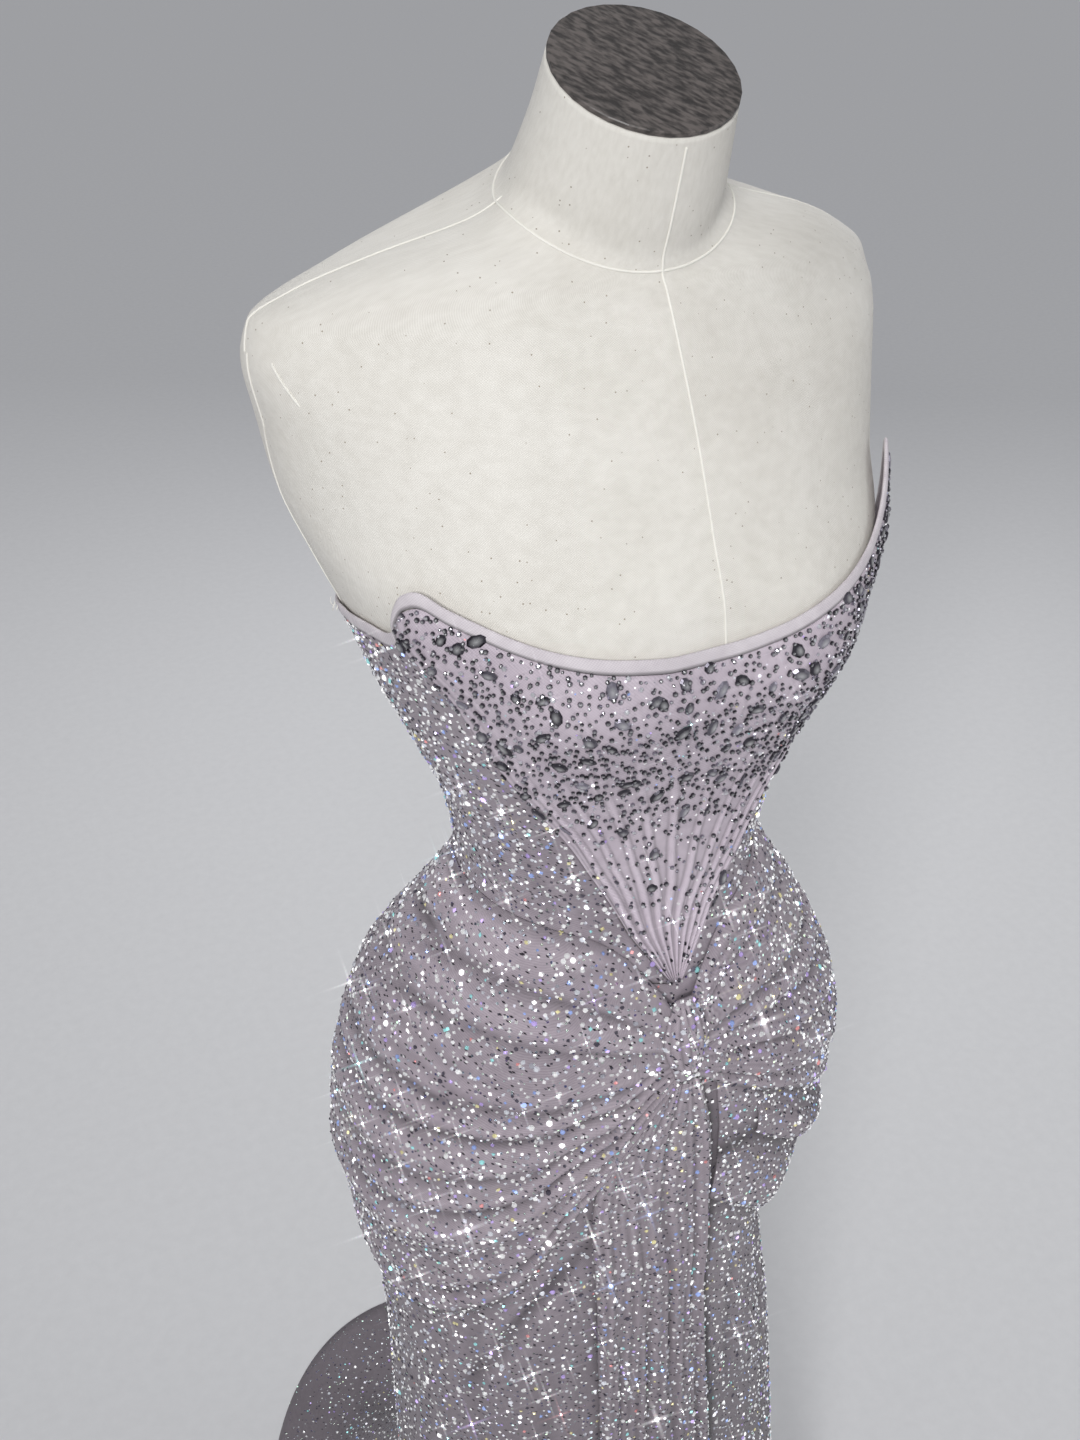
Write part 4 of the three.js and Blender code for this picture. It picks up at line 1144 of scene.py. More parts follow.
@dataclass
class DressForm:
    """The limbless form: linen cover, raised seams, wooden cap, plate and plain stand."""

    rings: Rings
    sides: int = 150
    hidden_steps: int = 26
    shown_steps: int = 120
    foot: float = 800
    shown_from: float = 1225
    seam_radius: float = 0.75
    neck_seam: Span = (1479, 4)
    centre_seams: Tuple[Rows, ...] = (
        ((0, 1545), (0, 1500), (0, 1440), (0, 1380), (0, 1320), (0, 1262)),
        ((180, 1545), (180, 1500), (180, 1440), (180, 1380), (180, 1300), (180, 1225)),
    )
    paired_seams: Tuple[Rows, ...] = (
        ((93, 1482), (93, 1468), (92, 1455), (92, 1440), (91, 1425), (89, 1410)),
        ((87, 1411), (88, 1391), (89.5, 1374), (92, 1352), (95, 1312), (98, 1255)),
        ((76, 1411), (73, 1402), (69.5, 1392)),
    )

    def laid(self, angle: Array, level: Array, out: float) -> Pair:
        """Points moved out from the form's skin.

        Args:
            angle: degrees round the body.
            level: side heights.
            out: millimetres outwards.

        Returns:
            The points, and the skin's normals there.
        """
        level = np.minimum(level, self.rings.seat_z - 4)
        along = self.rings.form_point(angle + 0.5, level) - self.rings.form_point(angle - 0.5, level)
        up = self.rings.form_point(angle, level + 2) - self.rings.form_point(angle, level - 2)
        normal = np.cross(along, up)
        normal /= np.linalg.norm(normal, axis=-1, keepdims=True)
        return self.rings.form_point(angle, level) + out * normal, normal

    def build_cover(self) -> Piece:
        """The linen skin: rings from the hip to the neck's seat, closed by fans below and above.

        Returns:
            The skin.
        """
        levels = np.concatenate([
            np.linspace(self.foot, self.shown_from, self.hidden_steps, endpoint=False),
            np.linspace(self.shown_from, self.rings.seat_z, self.shown_steps),
        ])
        angle = np.linspace(0, 360, self.sides, endpoint=False)
        a, z = np.meshgrid(angle, levels)
        grid = self.rings.form_point(a, z)
        rows = len(levels)
        low, high = grid[0].mean(0), grid[-1].mean(0)
        points = np.concatenate([grid.reshape(-1, 3), low[None], high[None]])
        centre = rows * self.sides
        pairs = np.arange(0, self.sides, 2)
        fan = np.stack([pairs, pairs + 1, (pairs + 2) % self.sides], -1)
        bottom = np.concatenate([np.full((len(pairs), 1), centre), fan[:, ::-1]], 1)
        top = np.concatenate([np.full((len(pairs), 1), centre + 1), fan + (rows - 1) * self.sides], 1)
        faces = np.concatenate([grid_faces(rows, self.sides, is_round=True), bottom, top])
        round_way = np.radians(np.where(a > 180, a - 360, a)) * 130 * METRE
        uv = np.concatenate([np.stack([round_way, z * METRE], -1).reshape(-1, 2), np.zeros((2, 2))])
        piece = mesh_piece("form_cover", points, faces, LINEN, uv)
        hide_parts("form_torso")
        return piece

    def build_seams(self) -> Piece:
        """Raised seams: half-sunk tubes down the centres, over the shoulders, and round armholes and neck.

        Returns:
            The joined seams.
        """
        parts = []
        lines = list(self.centre_seams)
        for seam in self.paired_seams:
            lines += [tuple((-angle, level) for angle, level in seam), seam]
        height, dip = self.neck_seam
        lines.append(tuple((a, height - dip * math.cos(math.radians(a))) for a in range(-180, 181, 12)))
        for rows in lines:
            keys = np.linspace(0, 1, len(rows))
            steps = np.linspace(0, 1, 90 if len(rows) > 3 else 24)
            angle = Track(keys, [r[0] for r in rows])(steps)
            level = Track(keys, [r[1] for r in rows])(steps)
            path, normal = self.laid(angle, level, 0.05)
            parts.append(tube_along(path, normal, self.seam_radius, sides=8, squash=0.8))
        return mesh_piece("form_seams", *joined(parts), SEAM_THREAD)

    def dress_hard_parts(self, nodes: Dict[str, Piece]) -> None:
        """Gives the wooden and steel nodes their finishes.

        Args:
            nodes: the CAD nodes by name.
        """
        for name, finish in (
            ("neck_cap", CAP_WOOD), ("bottom_plate", CAP_WOOD), ("stand_pole", STAND_STEEL),
            ("stand_base", STAND_STEEL),
        ):
            dress_node(nodes[name], finish)


def dress_node(node: Piece, finish: Finish) -> None:
    """Puts a finish on a CAD node that stays."""
    node.data.materials.clear()
    node.data.materials.append(finish.material())
    LOG.info("%s: %s", node.name, finish.name)


# The cut of the gown


@dataclass(frozen=True)
class Cut:
    """Lines that the gown's pieces are cut to: degrees from the centre front, and levels."""

    side_seam: float = 118
    notch: float = 66
    panel_foot: float = 1022
    cloth_outside: float = 3.2
    cloth_wall: float = 1.2
    seam_gap: float = 0.3
    waist_gap: float = 0.5
    binding_height: float = 8
    binding_gap: float = 0.6
    zip_foot: float = 965
    zip_half_gap: float = 1.8
    panel_edges: Tuple[Triple, ...] = (
        (1022, -1.7, 1.7), (1042, -8, 8), (1066, -17, 17.5), (1098, -26, 30), (1123, -33, 35.5),
        (1148, -39.5, 41), (1171, -46, 45.5), (1194, -52, 49), (1227, -57, 53.5), (1255, -61, 58),
        (1275, -66, 66),
    )
    neckline_rows: Rows = (
        (-180, 1247), (-150, 1249), (-107, 1257), (-77, 1276), (-72, 1277), (-66.5, 1283), (-64, 1297),
        (-61, 1307), (-57, 1311), (-51, 1305), (-45, 1299), (-39, 1293), (-31.5, 1287), (-24, 1283),
        (-16, 1280), (-9, 1277.5), (0, 1277), (9, 1280), (16, 1284), (24, 1289), (31.5, 1294), (39, 1300),
        (45, 1308), (51, 1321), (56, 1335), (58.5, 1338), (61, 1329), (64, 1307), (66.5, 1284), (72, 1277),
        (77, 1276), (107, 1257), (150, 1249), (180, 1247),
    )
    waist_rows: Rows = (
        (0, 1021), (8, 1026), (20, 1042), (40, 1058), (70, 1066), (118, 1072), (180, 1074),
    )

    def edge(self, side: int) -> Track:
        """The front panel's edge on one side, as an angle over the level."""
        k = 1 if side < 0 else 2
        return Track([row[0] for row in self.panel_edges], [row[k] for row in self.panel_edges])

    def neckline(self, angle: Array) -> Array:
        """The height of the top edge."""
        return track_of(self.neckline_rows)(angle)

    def panel_top(self, angle: Array) -> Array:
        """The height of a panel's own top, under the binding."""
        return self.neckline(angle) - self.binding_height - self.binding_gap

    def waist(self, angle: Array) -> Array:
        """The height of the seam between bodice and skirt."""
        return track_of(self.waist_rows)(np.abs(angle))

    def back_half_gap(self, level: Array) -> Array:
        """Half the gap at the centre back, wider where the zip lies."""
        return mix(self.seam_gap / 2, self.zip_half_gap, smooth(level, self.zip_foot - 4, self.zip_foot + 4))


# The bodice


@dataclass
class Bodice:
    """The boned front panel, side and back panels, and the binding along their top edges."""

    rings: Rings
    cut: Cut
    bones: Tuple[float, ...] = (-0.88, -0.7, -0.5, -0.31, -0.12, 0.08, 0.3, 0.5, 0.69, 0.86)
    bone_width: float = 7.5
    bone_height: float = 1.7
    bone_widest: float = 0.07
    bone_fade: float = 0.88
    front_columns: int = 190
    front_rows: int = 66
    side_columns: int = 46
    side_rows: int = 70
    back_columns: int = 30
    back_rows: int = 44
    bone_levels: Span = (0.42, 0.72)
    bone_kept: float = 0.3
    stitch_line: Span = (1.15, 0.35)
    welt: float = 0.7
    welt_lines: Tuple[Triple, ...] = ((1, 0.985, 0.018), (0.8, 0.945, 0.012))
    seam_lines: Tuple[Triple, ...] = ((1, 0.965, 0.009), (0.6, 0.925, 0.006))
    # Painted light on the front panel: a painted highlight on raised channels, and painted shade along the
    # stitching and seams.
    plain_light: float = 0.92
    painted_bone_highlight: float = 0.16
    painted_stitch_shade: float = 0.3
    beads_rise: Span = (0.42, 0.78)
    least_beads: float = 0.05
    section: Rows = (
        (1.3, 0.0), (2.3, 0.0), (3.4, 0.0), (3.9, 0.12), (4.05, 0.3), (3.95, 0.55), (3.6, 0.8), (3.1, 0.96),
        (2.5, 1.0), (1.8, 0.97), (1.35, 0.8), (1.2, 0.4),
    )
    thread_anchors: Tuple[Triple, ...] = ((-97, 9, 1.0), (-101, 6, -1.0), (-93, 5, 1.0))

    def pair(self, angle: Array, level: Array, raised: Array) -> Pair:
        """Outer and inner points of the panel cloth, with its outer face raised."""
        outer = self.rings.laid(angle, level, self.cut.cloth_outside + raised)
        return outer, self.rings.laid(angle, level, self.cut.cloth_outside - self.cut.cloth_wall)

    def front_grid(self) -> Tuple[Array, Array, Array, Array]:
        """Lays out the front panel.

        Returns:
            Its angles, levels, places across from -1 to 1, and places up from 0 to 1.
        """
        u, up = shares(self.front_columns, self.front_rows, -1)
        level = mix(self.cut.panel_foot, self.cut.panel_top(u * self.cut.notch), up)
        edges = []
        for side in (-1, 1):
            line = self.cut.edge(side)(level)
            edges.append(line - side * self.rings.gap_angle(line, level, self.cut.seam_gap))
        return mix(edges[0], edges[1], (u + 1) / 2), level, u, up

    def channels(self, u: Array, level: Array, up: Array) -> Pair:
        """How high the bones' channels stand, and a mask of their stitched edges.

        Args:
            u: places across.
            level: heights.
            up: places up.

        Returns:
            Heights in millimetres, and the mask.
        """
        degree = self.rings.hang_point(0.5, level) - self.rings.hang_point(-0.5, level)
        width = np.linalg.norm(degree, axis=-1)
        width = width * (self.cut.edge(1)(level) - self.cut.edge(-1)(level))
        share = np.minimum(self.bone_width / width, self.bone_widest)
        raised = np.zeros_like(u)
        stitched = np.zeros_like(u)
        for bone in self.bones:
            t = np.abs(u - bone) / share
            raised = np.maximum(raised, np.where(t < 1, np.cos(np.pi / 2 * np.clip(t, 0, 1)) ** 0.8, 0))
            stitched = np.maximum(stitched, hump(t, *self.stitch_line))
        shown = mix(1, self.bone_kept, smooth(up, *self.bone_levels)) * (1 - smooth(up, self.bone_fade, 1))
        return self.bone_height * raised * shown, stitched * shown

    def build_front(self) -> Tuple[Cloth, Array, Array]:
        """The front panel, with its channels raised and its V edges turned under in a welt.

        Returns:
            The cloth, its places across and its places up.
        """
        angle, level, u, up = self.front_grid()
        raised, stitched = self.channels(u, level, up)
        welt, seams = (
            sum(share * hump(np.abs(u), place, spread) for share, place, spread in lines)
            for lines in (self.welt_lines, self.seam_lines)
        )
        ease = Creases.scattered(5, 26, (-55, 55), (1150, 1270), 0.02, (25, 70), (4, 9), (-0.25, 0.35))
        raised = raised + self.welt * welt - ease.depth(angle, level)
        outer, inner = self.pair(angle, level, raised)
        # Painted highlight where the channels and welt stand up; painted shade in the ease creases, stitched
        # edges and seam lines.
        light = self.plain_light + self.painted_bone_highlight * raised / self.bone_height
        light = np.clip(light - self.painted_stitch_shade * stitched - self.painted_stitch_shade * seams, 0.5, 1.25)
        return make_cloth("bodice_front_net", outer, inner, TULLE, ["bodice_front_centre"], light), u, up

    def busy(self, u: Array, up: Array) -> Array:
        """How thick the front panel's beads lie: most at the bust, in patches, and a little more to the left.

        Args:
            u: places across.
            up: places up.

        Returns:
            The share of beads at each point.
        """
        patch = 0.5 + 0.5 * np.sin(5.2 * u + 1.3) * np.sin(6.1 * up + 0.6)
        bust = smooth(up, *self.beads_rise)
        return bust * (0.5 + 0.5 * patch) * (0.75 + 0.25 * smooth(u, -0.6, 0.6)) + self.least_beads

    def build_side(self, name: str, side: int) -> Cloth:
        """A side panel, from the V's edge to the side seam, with soft drag lines at the waist.

        Args:
            name: the CAD node's name.
            side: -1 for the right, 1 for the left.

        Returns:
            The cloth.
        """
        cut, edge = self.cut, self.cut.edge(side)
        away, up = shares(self.side_columns, self.side_rows)
        if side < 0:
            away = away[:, ::-1]
        notch = float(cut.panel_top(side * cut.notch))
        foot_angle = mix(float(edge(cut.panel_foot)), side * cut.side_seam, away)
        top_angle = mix(float(edge(notch)), side * cut.side_seam, away)
        foot = np.where(away == 0, cut.panel_foot, cut.waist(foot_angle) + cut.waist_gap)
        top = mix(notch, cut.panel_top(top_angle), smooth(away, 0, 0.1))
        level = mix(foot, top, up)
        front_level = mix(cut.panel_foot, notch, up)
        line = edge(front_level)
        near = line + side * self.rings.gap_angle(line, front_level, cut.seam_gap)
        gap = self.rings.gap_angle(side * cut.side_seam, level, cut.seam_gap / 2)
        far = side * (cut.side_seam - gap)
        angle = mix(near, far, away)
        drag = Creases.scattered(
            11 + side, 16, (-116, 116), (1060, 1180), 0.25 * side, (40, 110), (5, 11), (-0.5, 0.7),
        )
        raised = -drag.depth(angle, level)
        outer, inner = self.pair(angle, level, raised)
        # Painted shade in the drag lines' troughs.
        return make_cloth(name + "_net", outer, inner, NET, [name], painted_fold_shade(raised, 4, 1.2))

    def build_back(self, name: str, side: int) -> Cloth:
        """A back panel, from the side seam to the zip.

        Args:
            name: the CAD node's name.
            side: -1 for the right, 1 for the left.

        Returns:
            The cloth.
        """
        cut = self.cut
        away, up = shares(self.back_columns, self.back_rows)
        if side > 0:
            away = away[:, ::-1]
        rough = mix(180, cut.side_seam, away)
        level = mix(cut.waist(rough) + cut.waist_gap, cut.panel_top(rough), up)
        middle = 180 - self.rings.gap_angle(180, level, cut.back_half_gap(level))
        seam = cut.side_seam + self.rings.gap_angle(cut.side_seam, level, cut.seam_gap / 2)
        angle = mix(middle, seam, away)
        drag = Creases.scattered(23 + side, 9, (120, 178), (1080, 1200), 0.1, (40, 120), (6, 12), (-0.4, 0.6))
        outer, inner = self.pair(side * angle, level, -drag.depth(angle, level))
        return make_cloth(name + "_net", outer, inner, NET, [name])

    def build_binding(self, name: str, node: str, start: float, end: float, gaps: Span) -> Cloth:
        """The folded strip: a rounded section carried along the neckline, with closed ends.

        Args:
            name: the piece's name.
            node: the CAD node it stands for.
            start: the angle it starts at.
            end: the angle it ends at.
            gaps: millimetres that its two ends are drawn in by.

        Returns:
            The strip.
        """
        tops = [self.cut.panel_top(a) for a in (start, end)]
        inset = [float(self.rings.gap_angle(a, t, g)) for a, t, g in zip((start, end), tops, gaps)]
        angle = np.linspace(start + inset[0], end - inset[1], max(60, int(abs(end - start) * 1.5)))
        out, high = np.array(self.section).T
        level = self.cut.neckline(angle)[:, None] - self.cut.binding_height * (1 - high)[None, :]
        grid = self.rings.laid(angle[:, None], level, np.broadcast_to(out, level.shape))
        count, steps = len(out), len(angle)
        points = grid.reshape(-1, 3)
        body = grid_faces(steps, count, is_round=True)[:, ::-1]
        pairs = np.arange(2, count - 1, 2)
        fan = np.stack([np.zeros_like(pairs), pairs - 1, pairs, pairs + 1], -1)
        caps = [fan, fan[:, ::-1] + (steps - 1) * count]
        # Painted shade: the section's lowest rows, on the strip's underside, are kept at half lightness.
        edge = np.ones((steps, count, 4))
        edge[..., :3] = np.where(np.array(high) < 0.13, 0.5, 1.0)[None, :, None]
        uv = np.stack([np.broadcast_to(np.arange(steps)[:, None] * 0.0015, level.shape), level * METRE], -1)
        faces = np.concatenate([body, *caps])
        piece = mesh_piece(name, points, faces, STRIP, uv.reshape(-1, 2), edge.reshape(-1, 4))
        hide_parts(node)
        return Cloth(piece, grid[:, :9])

    def build_threads(self) -> Piece:
        """Loose threads at the right side's top edge: short curls that leave the binding.

        Returns:
            The joined threads.
        """
        parts = []
        t = np.linspace(0, 1, 22)
        for angle, reach, way in self.thread_anchors:
            level = self.cut.neckline(angle) - 1.5
            start = self.rings.laid(angle, level, 3.6)
            out = self.rings.hang_normal(angle, level)
            turn = way * (0.6 + 5.2 * t)
            back, rise = 0.3 * np.sin(turn), 0.5 * t + 0.25 * np.cos(turn)
            curl = np.stack([np.zeros_like(t), reach * back, reach * rise], -1)
            path = start + out * (reach * 0.35 * np.sin(2.4 * t))[:, None] + curl - curl[0]
            parts.append(tube_along(path, np.broadcast_to(out, path.shape) + 0.3 * curl, 0.22, sides=5))
        return mesh_piece("loose_threads", *joined(parts), SEAM_THREAD)


# The skirt


@dataclass
class Skirt:
    """The skirt's front, and its two back panels that run out into the train."""

    rings: Rings
    cut: Cut
    front_columns: int = 136
    front_rows: int = 136
    back_columns: int = 44
    back_rows: int = 170
    row_power: float = 1.12
    seam_ease: float = 6
    seed: int = 31
    tail_hides: float = 1.6
    tail_hides_levels: Span = (700, 850)
    # Painted shadow under the drapes and painted shade beside the tail: their spread, strength and reach.
    gap_spread: float = 1.5
    under_shade: float = 0.6
    under_reach: float = 9
    right_shade: float = 0.5
    left_shade: float = 0.84
    fold_levels: Span = (690, 800)
    under_drape: float = 4
    under_tail: Span = (1.5, 0.8)
    tail_hem: float = 30
    stones_from: float = 9
    fewer_levels: Span = (60, 480)
    pulled: Creases = Creases((
        (-46, 700, -15, 818, 6, 4.2), (-60, 640, -30, 742, 8, 2.6), (24, 560, 30, 740, 7, 2.4),
    ))

    def grid(self, seams: Span, points: Tuple[int, int]) -> Pair:
        """Angles and levels of a panel between two seams.

        Args:
            seams: the angles of its two seams, the lower first.
            points: points across and up.

        Returns:
            Angles and levels, with rows running up.
        """
        low, high = seams
        across, up = shares(*points)
        level = mix(0, self.cut.waist(mix(low, high, across)) - self.cut.waist_gap, up**self.row_power)
        back, side = self.cut.back_half_gap(level), self.cut.seam_gap / 2
        left = low + self.rings.gap_angle(low, level, back if low == -180 else side)
        right = high - self.rings.gap_angle(high, level, back if high == 180 else side)
        return mix(left, right, across), level

    def fold_depth(self, angle: Array, level: Array) -> Array:
        """Long soft folds that grow below the hip, uneven in length, depth and spacing.

        Args:
            angle: degrees round the body.
            level: heights.

        Returns:
            How far the cloth sinks there, in millimetres.
        """
        free = 1 - smooth(level, *self.fold_levels)
        on_floor = 1 - smooth(level, 8, 40)
        seed, round_all = self.seed, (-178, 178)
        hanging = Creases.scattered(seed, 30, round_all, (160, 520), 0.004, (300, 760), (7, 17), (-4.2, 3.4))
        drag = Creases.scattered(seed + 1, 24, round_all, (420, 700), 0.03, (90, 260), (5, 12), (-1.6, 1.8))
        train = Creases.scattered(seed + 2, 14, (120, 240), (30, 120), 0.3, (60, 200), (10, 22), (-3.0, 1.6))
        long_folds = (hanging.depth(angle, level) + drag.depth(angle, level)) * (1 - 0.9 * on_floor)
        floor_folds = train.depth(np.abs(angle), level) * smooth(level, 10, 60)
        return self.pulled.depth(angle, level) + free * (long_folds + floor_folds)

    def hidden_by_tail(self, level: Array) -> Array:
        """Degrees of skirt that the tail hides past its left edge, more of them lower down."""
        return self.tail_hides * (1 - smooth(level, *self.tail_hides_levels))

    def shade(self, angle: Array, level: Array, drapes: "Drapes") -> Array:
        """Painted shadow right under the drapes' lower edges, and painted shade in the gaps beside the
        hanging tail.

        Args:
            angle: degrees round the body.
            level: heights.
            drapes: the drapes that lie over it.

        Returns:
            How light the painted shadow leaves the cloth at each point.
        """
        right_edge, left_edge = drapes.tail_edges(level)
        under = self.under_shade * np.exp(-np.abs(drapes.low_edge(angle) - level) / self.under_reach)
        under = under * (np.abs(angle) < self.cut.side_seam)
        right = self.right_shade * np.exp(-np.abs(angle - right_edge))
        beyond = np.maximum(angle - left_edge - self.hidden_by_tail(level), 0)
        left = self.left_shade * hump(beyond, 0, self.gap_spread) * (angle > 0)
        return np.clip(1 - under - np.maximum(left, right) * (level < drapes.tail_top), 0.1, 1)

    def stone_share(self, angle: Array, level: Array, drapes: "Drapes") -> Array:
        """The share of stones that the skirt gets: none under a drape or the tail, and fewer towards the hem.

        Args:
            angle: degrees round the body.
            level: heights.
            drapes: the drapes that lie over it.

        Returns:
            The share at each point.
        """
        away = np.abs(angle)
        covered = (level > drapes.low_edge(angle) + self.under_drape) & (level < drapes.top_edge(away) - 1)
        covered = covered & (away < self.cut.side_seam) & ((angle < 0) | (angle > drapes.cascade_from))
        right_edge, left_edge = drapes.tail_edges(level)
        right_edge = right_edge + self.under_tail[0]
        left_edge = left_edge + self.hidden_by_tail(level) + self.under_tail[1]
        in_tail = (angle > right_edge) & (angle < left_edge)
        in_tail = in_tail & (level > self.tail_hem) & (level < drapes.tail_top)
        shown = np.where(covered | in_tail, 0.0, 1.0)
        return shown * mix(0.4, 1.0, smooth(level, *self.fewer_levels)) * (level > self.stones_from)

    def build(
        self, name: str, node: str, seams: Span, points: Tuple[int, int], drapes: "Drapes",
    ) -> Tuple[Cloth, Array, Array]:
        """One panel of the skirt.

        Args:
            name: the piece's name.
            node: the CAD node it stands for.
            seams: the angles of its two seams, the lower first.
            points: points across and up.
            drapes: the drapes that lie over it.

        Returns:
            The cloth, and its grids of angles and levels.
        """
        angle, level = self.grid(seams, points)
        sunk = self.fold_depth(angle, level)
        for seam in seams:
            sunk = sunk * smooth(np.abs(angle - seam), 0, self.seam_ease)
        outer = self.rings.laid(angle, level, self.cut.cloth_outside - sunk)
        inner = self.rings.laid(angle, level, self.cut.cloth_outside - self.cut.cloth_wall - sunk)
        outer[..., 2] = np.maximum(outer[..., 2], self.cut.cloth_wall)
        inner[..., 2] = np.maximum(inner[..., 2], 0)
        inner[0, :, 2] = 0
        outer[0, :, 2] = self.cut.cloth_wall * self.rings.hang_normal(angle[0], level[0])[:, 2] ** 2
        # Painted shade in the folds' troughs, times the painted shadow under the drapes and beside the tail.
        light = painted_fold_shade(-sunk, 4, 4.0) * np.clip(self.shade(angle, level, drapes), 0.3, 1)
        return make_cloth(name, outer, inner, NET, [node], light), angle, level


# The drapes


class Side(Enum):
    """Which hip a drape lies on."""

    RIGHT = -1
    LEFT = 1


@dataclass(frozen=True)
class DrapeLines:
    """Lines that bound the drapes: heights by angle."""

    right_top: Rows = (
        (0, 1000), (2, 1006), (8, 1027), (17, 1048), (30, 1062), (60, 1070), (118, 1078),
    )
    right_low: Rows = (
        (0, 958), (4, 939), (8, 920), (15, 877), (23, 841), (31.5, 797), (45, 764), (62, 743), (80, 736),
        (100, 744), (118, 765),
    )
    cascade_top: Rows = (
        (0, 1000), (2, 1006), (9, 1029), (18, 1048), (30, 1060), (60, 1070), (118, 1076),
    )
    upper_low: Rows = (
        (0, 958), (2, 955), (12, 930), (26, 898), (40, 868), (55, 846), (70, 836), (85, 838), (118, 862),
    )
    middle_low: Rows = (
        (20, 862), (30, 836), (45, 815), (60, 806), (80, 804), (100, 815), (118, 830),
    )
    lower_low: Rows = (
        (9.6, 814), (20, 788), (30, 768), (45, 747), (62, 737), (80, 743), (100, 765), (118, 785),
    )
    lower_top: Rows = (
        (9.6, 946), (20, 925), (26, 870), (30, 854), (45, 833), (62, 824), (80, 822), (100, 833), (118, 848),
    )
    upper_off: Rows = (
        (836, 5), (850, 5), (885, 7), (924, 11), (943, 10), (975, 3), (1014, 0), (1060, 0),
    )
    middle_off: Rows = ((0, 0), (0.37, 0), (0.5, 4), (0.75, 12), (1, 8.5))
    lower_off: Rows = ((0, 0), (0.26, 0), (0.5, 5), (0.75, 5), (1, 2.5))
    tucked: float = 18

    def under(self, line: Sequence[Span], low: Sequence[Span]) -> Tuple:
        """A fold's hidden top, tucked under the fold above it."""
        above = track_of(line)
        return tuple((angle, float(above(angle)) + self.tucked) for angle, _ in low)


@dataclass
class Drape:
    """A drape that fans out from the knot to the side seam, in pleats that run from end to end."""

    name: str
    node: str
    side: Side
    top: Rows
    low: Rows
    tucks: Tucks
    lift: Callable[[Array, Array, Array, Array], Array]
    columns: int
    rows: int
    fine: float = 0.5
    fine_count: float = 21
    seam_ease: Span = (0.86, 1)
    knot_ease: Span = (0, 0.16)
    knot_held: float = 0.35
    gather: float = 1.4
    reach: float = 18
    outside: float = 6.3
    wall: float = 1.2
    seam: float = 117.5
    knot: float = 1.2
    top_step: float = 1.8
    above: Optional[Rows] = None

    def build(self, rings: Rings) -> Cloth:
        """The drape's cloth.

        The pleats follow U-shaped lines: the share down the drape, raised to a power that grows towards the
        knot, so that they swing up to the hip as they leave it.

        Args:
            rings: the body surfaces.

        Returns:
            The cloth.
        """
        along, up = shares(self.columns, self.rows)
        if self.side is Side.RIGHT:
            along = along[:, ::-1]
        down = 1 - up
        away = mix(max(self.low[0][0], self.knot), self.seam, along)
        level = mix(track_of(self.top)(away), track_of(self.low)(away), down)
        fold = np.clip(down, 0, 1) ** (1 + self.gather * np.exp(-away / self.reach))
        held = (1 - smooth(along, *self.seam_ease)) * (self.knot_held + 0.65 * smooth(along, *self.knot_ease))
        held = held * smooth(down, 0.0, 0.04) * (1 - 0.6 * smooth(down, 0.95, 1.0))
        sway = 0.5 * np.sin(away / 9) + 0.35 * np.sin(away / 23 + 2)
        small = self.fine * np.sin(2 * np.pi * (fold * self.fine_count + sway))
        small = small * (0.5 + 0.5 * np.sin(away / 13 + fold * 9))
        raised = held * (self.tucks.height(fold) + small)
        sunk = self.top_step * (1 - smooth(down, 0, 0.06))
        off = self.lift(away, level, along, down) + raised - sunk
        sign = self.side.value
        outer = rings.laid(sign * away, level, self.outside + off)
        inner = rings.laid(sign * away, level, self.outside - self.wall + off)
        # Painted shade in the pleats' troughs and along the lower edge, and a painted shadow just below the
        # edge of the fold above.
        light = painted_fold_shade(raised, 5, 3.2) * (1 - 0.35 * smooth(down, 0.955, 1.0))
        if self.above:
            light = light * (1 - 0.8 * np.exp(-np.abs(track_of(self.above)(away) - level) / 12))
        return make_cloth(self.name, outer, inner, DRAPE_NET, [self.node], light)


